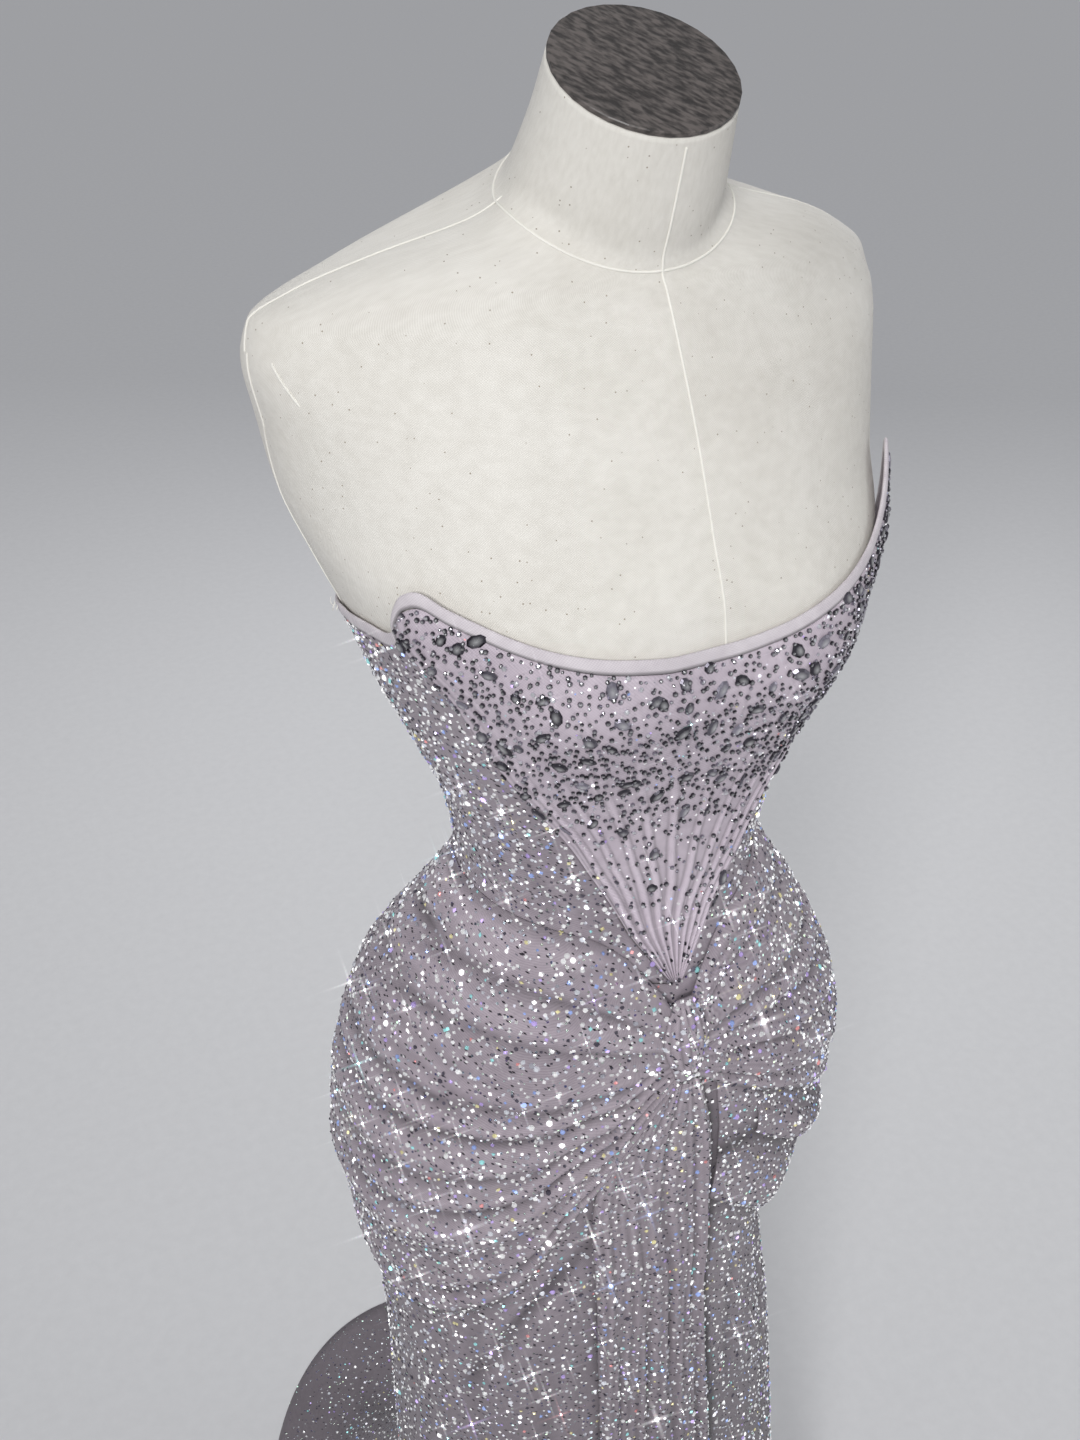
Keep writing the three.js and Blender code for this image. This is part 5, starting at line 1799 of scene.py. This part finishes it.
@dataclass
class Drapes:
    """The right hip's fan of pleats, the left hip's three gathered folds, the hanging tail and the knot."""

    rings: Rings
    lines: DrapeLines = field(default_factory=DrapeLines)
    ride_out: float = 3.4
    tail_rows: Tuple[Triple, ...] = (
        (0, -12, 22), (500, -13, 17), (729, -15, 12.5), (831, -16, 8.8), (910, -13, 7), (947, -6, 5),
    )
    tail_top: float = 947
    tail_foot: float = 22
    tail_columns: int = 72
    tail_steps: int = 150
    skirt_outside: float = 3.2
    tail_gap: Span = (2.4, 0.8)
    tail_lift: float = 1.8
    tail_wall: float = 1.2
    tail_flat: Span = (0.72, 0.98)
    knot_height: float = 984
    knot_half_width: float = 13
    knot_half_height: float = 30
    knot_out: float = 12.4
    knot_taper: float = 0.55
    knot_crown: float = 5.2
    knot_fold: float = 1.5
    knot_wall: float = 1.6

    def tail_edges(self, level: Array) -> Pair:
        """The angles of the hanging tail's right and left edges."""
        heights, rights, lefts = zip(*self.tail_rows)
        return Track(heights, rights)(level), Track(heights, lefts)(level)

    def low_edge(self, angle: Array) -> Array:
        """The height of the drapes' lower edge on either hip."""
        right, left = track_of(self.lines.right_low), track_of(self.lines.lower_low)
        return np.where(angle < 0, right(-angle), left(angle))

    def top_edge(self, away: Array) -> Array:
        """The height of the drapes' upper edge."""
        return track_of(self.lines.right_top)(away)

    @property
    def cascade_from(self) -> float:
        """The angle that the left hip's lowest fold starts at."""
        return self.lines.lower_low[0][0]

    def ride(self, along: Array, down: Array) -> Array:
        """How far a drape rides over what lies under it, near the knot and along its lower edge."""
        return self.ride_out * np.maximum(1 - smooth(along, 0, 0.12), smooth(down, 0.5, 0.8))

    def shown(self, away: Array, start: float) -> Array:
        """The share of a fold's stand-off that is left at an angle."""
        return smooth(away, start, start + 20) * mix(1, 0.4, smooth(away, 90, 118))

    def pieces(self) -> List[Drape]:
        """Sets out the drapes.

        Returns:
            The four drapes, from the outermost in.
        """
        lines = self.lines
        offs = (lines.upper_off, lines.middle_off, lines.lower_off)
        upper, middle, lower = (track_of(off) for off in offs)
        return [
            Drape(
                "drape_right", "skirt_drape_right", Side.RIGHT, lines.right_top, lines.right_low,
                Tucks(9, 4.6, 3, 0.024), lambda away, level, along, down: self.ride(along, down), 150, 104,
            ),
            Drape(
                "cascade_top_fold", "cascade_upper", Side.LEFT, lines.cascade_top, lines.upper_low,
                Tucks(6, 3.8, 8, 0.03),
                lambda away, level, along, down: np.maximum(
                    upper(level) * self.shown(away, 8), self.ride(along, down),
                ),
                120, 80, gather=0.8,
            ),
            Drape(
                "cascade_middle_fold", "cascade_middle", Side.LEFT,
                lines.under(lines.upper_low, lines.middle_low), lines.middle_low, Tucks(2, 1.6, 4, 0.03),
                lambda away, level, along, down: np.maximum(
                    middle(down) * self.shown(away, 20), self.ride_out * smooth(down, 0.45, 0.7),
                ) - 2.2 * smooth(down, 0.93, 1),
                80, 40, gather=0.2, above=lines.upper_low,
            ),
            Drape(
                "cascade_lower_fold", "cascade_lower", Side.LEFT, lines.lower_top,
                lines.lower_low, Tucks(2, 1.6, 6, 0.03),
                lambda away, level, along, down: (
                    lower(down) * self.shown(away, 20) - 1.2 * smooth(down, 0.93, 1)
                ),
                80, 44, gather=0.2, above=lines.middle_low,
            ),
        ]

    def build_tail(self) -> Tuple[Cloth, Array]:
        """The pleated panel that hangs from the knot, on the skirt's face.

        Returns:
            The cloth and its heights.
        """
        across, up = shares(self.tail_columns, self.tail_steps)
        level = mix(self.tail_foot, self.tail_top, up)
        angle = mix(*self.tail_edges(level), across)
        pleats = Tucks(5, 4.2, 12, 0.035).height(across + 0.02 * np.sin(level / 130))
        pleats = pleats + 0.5 * np.sin(2 * np.pi * (across * 13 + 0.4 * np.sin(level / 70)))
        pleats = pleats * smooth(np.minimum(across, 1 - across), 0, 0.05)
        out = self.skirt_outside + mix(*self.tail_gap, up) + self.tail_lift
        out = out + pleats * mix(1.2, 0.45, smooth(up, *self.tail_flat))
        outer = self.rings.laid(angle, level, out)
        inner = self.rings.laid(angle, level, out - self.tail_wall)
        # Painted shade in the pleats' troughs.
        light = painted_fold_shade(pleats, 4, 3.0)
        return make_cloth("hanging_tail", outer, inner, DRAPE_NET, ["front_tail"], light), level

    def build_knot(self) -> Cloth:
        """The gather that the drapes run into: a small crowned piece with folds that run down it.

        Returns:
            The cloth.
        """
        a, b = np.meshgrid(np.linspace(-1, 1, 44), np.linspace(-1, 1, 40))
        width = self.knot_half_width * (1 - self.knot_taper * b * b) * (1 + 0.07 * np.sin(4 * b + 1))
        level = self.knot_height + b * self.knot_half_height
        angle = a * self.rings.gap_angle(0, level, width)
        crown = (1 - a * a) * (1 - b**4)
        folds = np.abs(np.sin(np.pi * (a * 2.6 + 0.25 * b + 0.12))) * (1 - b**4) * (1 - a**6)
        folds = self.knot_fold * folds
        out = self.knot_out + self.knot_crown * crown + folds
        outer = self.rings.laid(angle, level, out)
        inner = self.rings.laid(angle, level, self.knot_out - self.knot_wall)
        # Painted shade in the knot's fold troughs.
        return make_cloth("gathered_knot", outer, inner, DRAPE_NET, ["drape_knot"], painted_fold_shade(folds, 3, 1.6))


# Stones


class Gem(Enum):
    """Shapes of the small stones."""

    POINTED = "pointed"
    TABLE = "table"
    ROUND = "round"
    OVAL = "oval"


def gem_shape(gem: Gem) -> Pair:
    """A stone of radius 1, as points and three-sided faces turning left round the outward normal.

    A pointed stone is a square pyramid on a shallow one. A table stone has a ring of facets round a flat top.
    A round or oval bead is two rings between two poles.

    Args:
        gem: the stone's shape.

    Returns:
        Points and faces.
    """
    def ring(count: int, radius: float, height: float) -> Array:
        """Points evenly round the stone's axis."""
        turn = np.linspace(0, 2 * np.pi, count, endpoint=False)
        return np.stack([radius * np.cos(turn), radius * np.sin(turn), np.full(count, height)], -1)

    def lathe(count: int, profile: Sequence[Span]) -> Pair:
        """Turns a profile of (radius, height) that starts and ends in a pole.

        Args:
            count: sides.
            profile: the rows, from the lower pole up.

        Returns:
            Points and faces.
        """
        low, *middle, high = profile
        rings = [ring(count, radius, height) for radius, height in middle]
        points = np.concatenate([[[0, 0, low[1]]], *rings, [[0, 0, high[1]]]])
        k = np.arange(count)
        after = (k + 1) % count
        faces = [np.stack([np.zeros_like(k), after + 1, k + 1], -1)]
        for j in range(len(middle) - 1):
            a, b = 1 + j * count, 1 + (j + 1) * count
            faces += [np.stack([k + a, after + a, after + b], -1), np.stack([k + a, after + b, k + b], -1)]
        top = 1 + (len(middle) - 1) * count
        faces.append(np.stack([k + top, after + top, np.full_like(k, len(points) - 1)], -1))
        return points, np.concatenate(faces)

    if gem is Gem.POINTED:
        return lathe(4, ((0, -0.1), (1, 0.1), (0, 0.8)))
    if gem is Gem.TABLE:
        return lathe(6, ((0, -0.1), (1, 0.05), (0.58, 0.6), (0, 0.6)))
    if gem is Gem.ROUND:
        return lathe(6, ((0, -0.2), (0.88, 0.2), (0.85, 0.95), (0, 1.35)))
    return lathe(8, ((0, -0.1), (1, 0.1), (0.72, 0.42), (0, 0.55)))


@dataclass
class StoneSetting:
    """A lot of stones sewn to one piece of cloth, mostly along lines that slant down to the left side."""

    name: str
    finish: Stone
    spacing: float
    radius: Span
    seed: int
    gems: Tuple[Tuple[Gem, float], ...] = ((Gem.POINTED, 0.84), (Gem.TABLE, 0.16))
    palette: Tuple[Colour, ...] = (
        (1.0, 1.0, 1.0, 52), (0.84, 0.86, 0.92, 18), (0.5, 0.5, 0.56, 8), (0.1, 0.09, 0.12, 8),
        (0.42, 0.55, 1.0, 5), (0.66, 0.5, 1.0, 4), (0.45, 0.95, 0.95, 2), (1.0, 0.92, 0.5, 2),
        (0.95, 0.4, 0.4, 0.6),
    )
    # Shares of stones that get a painted glow, and a strong painted glow for the compositor's stars.
    painted_sparkle_share: float = 0.1
    stars: float = 0.0025
    tilt: float = 0.25
    rowed: float = 0.75
    line_spacing: float = 6.5
    slant: float = math.radians(38)
    way: Triple = (0.746, -0.74, -0.5)
    stretch: float = 1.0
    oval_lengths: Span = (1.15, 1.7)
    table_size: float = 1.3
    candidates: float = 7.0
    line_width: float = 0.17
    cube: float = 1.2

    def places(self, grid: Array, density: Optional[Array]) -> Pair:
        """Places on a cloth's grid, about one to each cube of the spacing.

        Candidates are drawn by area. Part of them must lie near slanting lines on the cut cloth. They are
        then thinned so that no two share a cube.

        Args:
            grid: (rows, columns, 3) outer points.
            density: the wanted share of stones at each point, or None for all.

        Returns:
            Points on the cloth and the cloth's normals there.
        """
        rng = np.random.default_rng(self.seed)
        cells = cell_areas(grid)
        if density is not None:
            cells = cells * (density[1:, 1:] + density[:-1, :-1] + density[1:, :-1] + density[:-1, 1:]) / 4
        count = int(self.candidates * cells.sum() / self.spacing**2)
        pick = rng.choice(cells.size, count, p=cells.ravel() / cells.sum())
        j, i = np.divmod(pick, cells.shape[1])
        t, s = rng.uniform(size=(2, count))
        cut = arc_uv(grid) / METRE
        line = cut[..., 0] * math.sin(self.slant) + cut[..., 1] * math.cos(self.slant)
        share = mix(mix(line[j, i], line[j, i + 1], s), mix(line[j + 1, i], line[j + 1, i + 1], s), t)
        share = share / self.line_spacing
        near = np.abs(share - np.round(share)) < self.line_width
        kept = near | (rng.uniform(size=count) > self.rowed)
        j, i, t, s = j[kept], i[kept], t[kept], s[kept]
        corner = [grid[j, i], grid[j, i + 1], grid[j + 1, i + 1], grid[j + 1, i]]
        weight = [(1 - s) * (1 - t), s * (1 - t), s * t, (1 - s) * t]
        point = sum(w[:, None] * p for w, p in zip(weight, corner))
        normal = grid_normals(grid)[j, i]
        cube = np.floor(point / (self.spacing * self.cube)).astype(np.int64) + 4096
        _, first = np.unique((cube[:, 0] * 8192 + cube[:, 1]) * 8192 + cube[:, 2], return_index=True)
        return point[first], normal[first]

    def colours(self, count: int, rng: np.random.Generator) -> Array:
        """Colours from the palette, with an alpha that says how much painted glow each one gets.

        Args:
            count: how many.
            rng: the source of chance.

        Returns:
            (count, 4) colours.
        """
        palette = np.array(self.palette)
        pick = rng.choice(len(palette), count, p=palette[:, 3] / palette[:, 3].sum())
        colour_and_painted_light = np.ones((count, 4))
        colour_and_painted_light[:, :3] = palette[pick, :3] * rng.uniform(0.8, 1.0, (count, 1))
        # Painted glow: a share of the stones glow, a very few glow strongly, and the rest barely.
        chance = rng.uniform(size=count)
        painted_glow_level = np.where(chance < self.painted_sparkle_share, rng.uniform(0.2, 0.5, count), rng.uniform(0.0, 0.08, count))
        colour_and_painted_light[:, 3] = np.where(chance < self.stars, rng.uniform(1.5, 4.0, count), painted_glow_level)
        return colour_and_painted_light

    def build(self, place: Array, normal: Array) -> Piece:
        """One mesh of stones, each turned at random and tilted a little off its cloth.

        Args:
            place: where each stone sits.
            normal: the cloth's normals there.

        Returns:
            The joined stones.
        """
        rng = np.random.default_rng(self.seed + 1)
        lot = rng.choice(len(self.gems), len(place), p=[share for _, share in self.gems])
        tints = self.colours(len(place), rng)
        parts, shades = [], []
        for k, (gem, _) in enumerate(self.gems):
            chosen = lot == k
            count = int(chosen.sum())
            if count == 0:
                continue
            shape, faces = gem_shape(gem)
            up = normal[chosen] + self.tilt * rng.normal(size=(count, 3))
            up /= np.linalg.norm(up, axis=1, keepdims=True)
            ahead = rng.normal(size=(count, 3))
            if self.stretch > 1:
                ahead = np.array(self.way) + 0.12 * ahead
            other = np.cross(up, ahead)
            other /= np.linalg.norm(other, axis=1, keepdims=True)
            side = np.cross(other, up)
            size = rng.uniform(*self.radius, count) * (self.table_size if gem is Gem.TABLE else 1.0)
            stretch = self.stretch
            if gem is Gem.OVAL:
                stretch = stretch * rng.uniform(*self.oval_lengths, (count, 1, 1))
            local = (
                side[:, None] * shape[None, :, 0, None] * stretch
                + other[:, None] * shape[None, :, 1, None]
                + up[:, None] * shape[None, :, 2, None]
            )
            points = place[chosen][:, None] + size[:, None, None] * local
            shift = np.arange(count)[:, None, None] * len(shape)
            parts.append((points.reshape(-1, 3), (faces[None] + shift).reshape(-1, 3)))
            shade = np.repeat(tints[chosen][:, None], len(shape), axis=1)
            # Painted highlight: the top pole of round and oval beads is lightened.
            if gem in (Gem.ROUND, Gem.OVAL):
                shade[:, -1, :3] = mix(shade[:, -1, :3], 0.9, 0.6)
            shades.append(shade.reshape(-1, 4))
        points, faces = joined(parts)
        return mesh_piece(self.name, points, faces, self.finish, colour_and_painted_light=np.concatenate(shades), is_smooth=False)

    def sew(self, cloth: Cloth, density: Optional[Array] = None) -> Piece:
        """Sews stones over a piece of cloth."""
        return self.build(*self.places(cloth.grid, density))


# Colours of the dark dashes that stand for painted shadows beside the stones.
PAINTED_SHADOW_COLOURS = ((0.05, 0.045, 0.055, 60), (0.13, 0.12, 0.15, 25), (0.3, 0.28, 0.33, 15))


def sew_stones(
    cloth: Cloth, name: str, spacing: float, seed: int, density: Optional[Array] = None,
) -> List[Piece]:
    """Sews the bright stones over crystal cloth, and short dark dashes between them as painted shadows beside
    the stones.

    Args:
        cloth: the cloth.
        name: the stones' name.
        spacing: millimetres between bright stones.
        seed: the random seed.
        density: the wanted share of stones at each point, or None for all.

    Returns:
        The two joined lots.
    """
    # Fewer stones where the cloth has painted shade, so its creases stay dark.
    if cloth.light is not None:
        density = (1 if density is None else density) * mix(0.12, 1, smooth(cloth.light, 0.35, 0.85))
    bright = StoneSetting(name + "_stones", CRYSTAL, spacing, (1.0, 1.75), seed)
    # Painted shadow: small dark pointed stones drawn out along one slant.
    dark = StoneSetting(
        name + "_painted_shadow_dashes", CRYSTAL, spacing * 1.12, (0.5, 0.8), seed + 500, ((Gem.POINTED, 1.0),), PAINTED_SHADOW_COLOURS,
        painted_sparkle_share=0.0, stars=0.0, tilt=0.1, stretch=2.3,
    )
    return [bright.sew(cloth, density), dark.sew(cloth, density)]


# The zip


@dataclass
class BackZip:
    """The closure at the centre back: teeth on two narrow tapes, under the slider and its tab."""

    rings: Rings
    foot: float = 979
    top: float = 1236
    pitch: float = 2.3
    low: float = 1.7
    tooth: Triple = (1.5, 1.25, 1.3)
    tape_half: float = 1.3
    tape_faces: Span = (0.3, -0.1)
    tooth_lift: float = 0.8
    tooth_over: float = 0.45

    def build_teeth(self) -> Piece:
        """Two rows of small blocks that mesh like a comb, moved on by half a pitch from each other.

        Returns:
            The joined teeth.
        """
        levels = np.arange(self.foot, self.top - self.pitch, self.pitch / 2)
        sides = np.where(np.arange(len(levels)) % 2 == 0, -1.0, 1.0)
        normal = self.rings.hang_normal(180, levels)
        centre = self.rings.laid(180, levels, self.low + self.tooth_lift)
        width, height, depth = self.tooth
        corners = np.array([[x, z, y] for y in (-0.5, 0.5) for z in (-0.5, 0.5) for x in (-0.5, 0.5)])
        across, up = np.array([1.0, 0, 0]), np.array([0, 0, 1.0])
        reach = corners[None, :, 0, None] * width + self.tooth_over * sides[:, None, None]
        points = centre[:, None] + reach * across + corners[None, :, 1, None] * height * up
        points = points + corners[None, :, 2, None] * depth * normal[:, None]
        block = np.array([[0, 1, 3, 2], [4, 6, 7, 5], [0, 4, 5, 1], [2, 3, 7, 6], [0, 2, 6, 4], [1, 5, 7, 3]])
        faces = (block[None] + 8 * np.arange(len(levels))[:, None, None]).reshape(-1, 4)
        return mesh_piece("zip_teeth", points.reshape(-1, 3), faces, ZIP_METAL, is_smooth=False)

    def build_tape(self) -> Piece:
        """The woven tape that the teeth are fixed to.

        Returns:
            The tape.
        """
        across, up = shares(5, 90, -1)
        level = mix(self.foot, self.top, up)
        half = self.rings.gap_angle(180, level, self.tape_half)
        angle = 180 + across * half
        outer, inner = (self.rings.laid(angle, level, self.low + face) for face in self.tape_faces)
        return make_cloth("zip_tape", outer, inner, ZIP_TAPE, ["zip_chain"]).piece


ZIP_TAPE = Linen(
    "zip_tape_weave", "binding_cloth", (0.55, 0.51, 0.57), (0.4, 0.37, 0.43), 0.8, bump=0.3, threads=1500,
)


# The studio


@dataclass
class Studio:
    """A pale floor, soft lights and the camera at the photo's angle."""

    eye: Triple = (-0.4125, -0.7167, 1.6713)
    right: Triple = (0.8896, -0.4567, 0.0037)
    up: Triple = (0.2388, 0.472, 0.8487)
    back: Triple = (-0.3894, -0.7541, 0.5289)
    lens: float = 38.8
    lights: Tuple[Tuple[str, Triple, float, float], ...] = (
        ("fill", (2.2, -1.5, 1.7), 1.4, 9.0),
        ("rim", (1.3, 2.2, 2.4), 1.0, 30.0),
        ("spark", (-0.75, -1.3, 2.5), 0.3, 9.0),
    )
    sun: Triple = (-1.5, -1.7, 2.1)
    aim: Triple = (0, 0, 1.05)

    def build_camera(self) -> None:
        """The camera, from its three axes."""
        data = bpy.data.cameras.new("camera")
        data.lens = self.lens
        data.sensor_width = 36
        data.clip_start, data.clip_end = 0.05, 100
        camera = linked("camera", data)
        columns = Matrix((self.right, self.up, self.back)).transposed().to_4x4()
        columns.translation = self.eye
        camera.matrix_world = columns
        bpy.context.scene.camera = camera

    def add_light(self, name: str, kind: str, place: Triple, power: float) -> bpy.types.Light:
        """A light that faces the gown.

        Args:
            name: the light's name.
            kind: its type.
            place: where it stands, in metres.
            power: its power in watts.

        Returns:
            The light, for its size to be set.
        """
        data = bpy.data.lights.new(name, kind)
        data.energy = power
        light = linked(name, data)
        light.location = place
        way = Vector(place) - Vector(self.aim)
        light.rotation_euler = way.to_track_quat("Z", "Y").to_euler()
        return data

    def build_lights(self) -> None:
        """A wide soft sun as the key, area lights, and a soft pale world."""
        self.add_light("key", "SUN", self.sun, 1.55).angle = math.radians(14)
        for name, place, size, power in self.lights:
            self.add_light(name, "AREA", place, power).size = size
        world = bpy.data.worlds.new("studio")
        world.use_nodes = True
        world.node_tree.nodes["Background"].inputs[0].default_value = (0.93, 0.95, 1.0, 1)
        world.node_tree.nodes["Background"].inputs[1].default_value = 0.34
        bpy.context.scene.world = world
        bpy.context.scene.view_settings.view_transform = "Standard"

    def build_glare(self) -> None:
        """Small four-pointed stars round the brightest stones."""
        scene = bpy.context.scene
        scene.use_nodes = True
        tree = scene.node_tree
        tree.nodes.clear()
        layers = tree.nodes.new("CompositorNodeRLayers")
        glare = tree.nodes.new("CompositorNodeGlare")
        glare.glare_type = "STREAKS"
        glare.quality = "HIGH"
        for label, value in (
            ("Threshold", 1.5), ("Smoothness", 0.1), ("Strength", 1.0), ("Streaks", 4),
            ("Streaks Angle", math.radians(20)), ("Iterations", 3), ("Fade", 0.9), ("Color Modulation", 0.3),
        ):
            glare.inputs[label].default_value = value
        out = tree.nodes.new("CompositorNodeComposite")
        tree.links.new(layers.outputs["Image"], glare.inputs["Image"])
        tree.links.new(glare.outputs["Image"], out.inputs["Image"])

    def build_floor(self) -> None:
        """A wide pale floor."""
        mesh = bpy.data.meshes.new("floor")
        r = 30
        mesh.from_pydata([(-r, -r, 0), (r, -r, 0), (r, r, 0), (-r, r, 0)], [], [(0, 1, 2, 3)])
        floor = linked("floor", mesh)
        finish = Finish("pale_floor", "stand_steel", (0.66, 0.66, 0.67), (0.63, 0.63, 0.64), 0.85, bump=0.02)
        mesh.materials.append(finish.material())
        floor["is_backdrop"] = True


# The whole gown


SMOKY = ((0.07, 0.065, 0.08, 50), (0.15, 0.14, 0.17, 28), (0.32, 0.3, 0.36, 12), (0.75, 0.75, 0.8, 10))


def declare(cloth: Cloth, with_pieces: Sequence[Piece] = ()) -> None:
    """Logs the cut of a sheet, measured on the face that shows.

    Args:
        cloth: the cloth.
        with_pieces: the stones sewn to it; not used.
    """
    flat, area = cloth.cut()
    LOG.info("%s: cut %.3f by %.3f m, %.4f square metres", cloth.piece.name, *flat, area)


def sew_front(bodice: Bodice) -> None:
    """Builds the front panel, and sews round beads, a few ovals and seed stones on it.

    Args:
        bodice: the bodice.
    """
    front, u, up = bodice.build_front()
    busy = bodice.busy(u, up)
    seeded = 0.2 + 0.8 * busy + 0.8 * (1 - smooth(up, 0.03, 0.16))
    rounds, ovals = ((Gem.ROUND, 1.0),), ((Gem.OVAL, 1.0),)
    declare(front, [
        StoneSetting(
            "smoky_beads", BEAD, 4.4, (1.0, 1.75), 71, rounds, SMOKY, 0.03, 0.002, tilt=0.12, rowed=0.0,
        ).sew(front, busy),
        StoneSetting(
            "oval_stones", BEAD, 19, (2.8, 4.2), 73, ovals, SMOKY[:3], 0.0, 0.0, tilt=0.08, rowed=0.0,
        ).sew(front, busy**1.3),
        StoneSetting("seed_stones", CRYSTAL, 8.0, (0.5, 0.95), 75, painted_sparkle_share=0.3, rowed=0.0).sew(front, seeded),
    ])


def sew_bodice(bodice: Bodice) -> None:
    """Builds the bodice from the front panel round to the binding, and sews its stones.

    Args:
        bodice: the bodice.
    """
    sew_front(bodice)
    for name, side in (("bodice_side_right", -1), ("bodice_side_left", 1)):
        cloth = bodice.build_side(name, side)
        away = np.linspace(0, 1, bodice.side_columns)[::side]
        share = np.broadcast_to(smooth(away, 0.0, 0.025), cloth.grid.shape[:2])
        declare(cloth, sew_stones(cloth, name, 4.9, 80 + side, share))
    for name, side in (("bodice_back_right", -1), ("bodice_back_left", 1)):
        cloth = bodice.build_back(name, side)
        declare(cloth, sew_stones(cloth, name, 7.0, 84 + side))
    bodice.build_threads()
    gap, half, notch = bodice.cut.seam_gap, bodice.cut.zip_half_gap, bodice.cut.notch
    for name, node, start, end, gaps in (
        ("front_binding", "binding_front", -notch, notch, (gap, gap)),
        ("left_binding", "binding_back_left", notch, 180, (gap, half)),
        ("right_binding", "binding_back_right", -180, -notch, (half, gap)),
    ):
        declare(bodice.build_binding(name, node, start, end, gaps))


def sew_drapes(drapes: Drapes) -> None:
    """Builds the drapes, the tail and the knot, and sews their stones.

    Args:
        drapes: the drapes.
    """
    for k, drape in enumerate(drapes.pieces()):
        cloth = drape.build(drapes.rings)
        declare(cloth, sew_stones(cloth, drape.name, 5.2, 90 + 2 * k))
    tail, level = drapes.build_tail()
    share = 0.4 + 0.6 * smooth(level, 120, 400)
    declare(tail, sew_stones(tail, "tail", 5.4, 104, share))
    knot = drapes.build_knot()
    declare(knot, sew_stones(knot, "knot", 4.4, 106))


def sew_skirt(skirt: Skirt, drapes: Drapes) -> None:
    """Builds the skirt and sews its stones where no drape covers it.

    Args:
        skirt: the skirt.
        drapes: the drapes that lie over it.
    """
    seam = skirt.cut.side_seam
    front, back = (skirt.front_columns, skirt.front_rows), (skirt.back_columns, skirt.back_rows)
    for name, node, seams, points, spacing in (
        ("skirt_front_net", "skirt_front", (-seam, seam), front, 6.3),
        ("skirt_left_back_net", "skirt_back_left", (seam, 180), back, 8.6),
        ("skirt_right_back_net", "skirt_back_right", (-180, -seam), back, 8.6),
    ):
        cloth, angle, level = skirt.build(name, node, seams, points, drapes)
        share = skirt.stone_share(angle, level, drapes)
        declare(cloth, sew_stones(cloth, name, spacing, 110, share))


def close_zip(closure: BackZip, nodes: Dict[str, Piece]) -> None:
    """Builds the zip's teeth and tape, and dresses its slider and tab.

    Args:
        closure: the zip.
        nodes: the CAD nodes by name.
    """
    closure.build_tape()
    closure.build_teeth()
    for name in ("zip_slider", "zip_pull_tab"):
        dress_node(nodes[name], ZIP_METAL)


def main() -> None:
    """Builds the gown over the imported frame, from the form outwards."""
    logging.basicConfig(level=logging.INFO, format="%(message)s", stream=sys.stdout)
    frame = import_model()
    nodes = frame["nodes"]
    studio = Studio()
    studio.build_camera()
    rings, cut = Rings(), Cut()
    form = DressForm(rings)
    form.build_cover()
    form.build_seams()
    form.dress_hard_parts(nodes)
    drapes = Drapes(rings)
    sew_bodice(Bodice(rings, cut))
    sew_drapes(drapes)
    sew_skirt(Skirt(rings, cut), drapes)
    close_zip(BackZip(rings), nodes)
    studio.build_lights()
    studio.build_floor()
    studio.build_glare()
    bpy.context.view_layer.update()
    total = sum(sum(len(p.vertices) - 2 for p in o.data.polygons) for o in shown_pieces())
    LOG.info("triangles shown: %d", total)


if __name__ == "__main__":
    main()
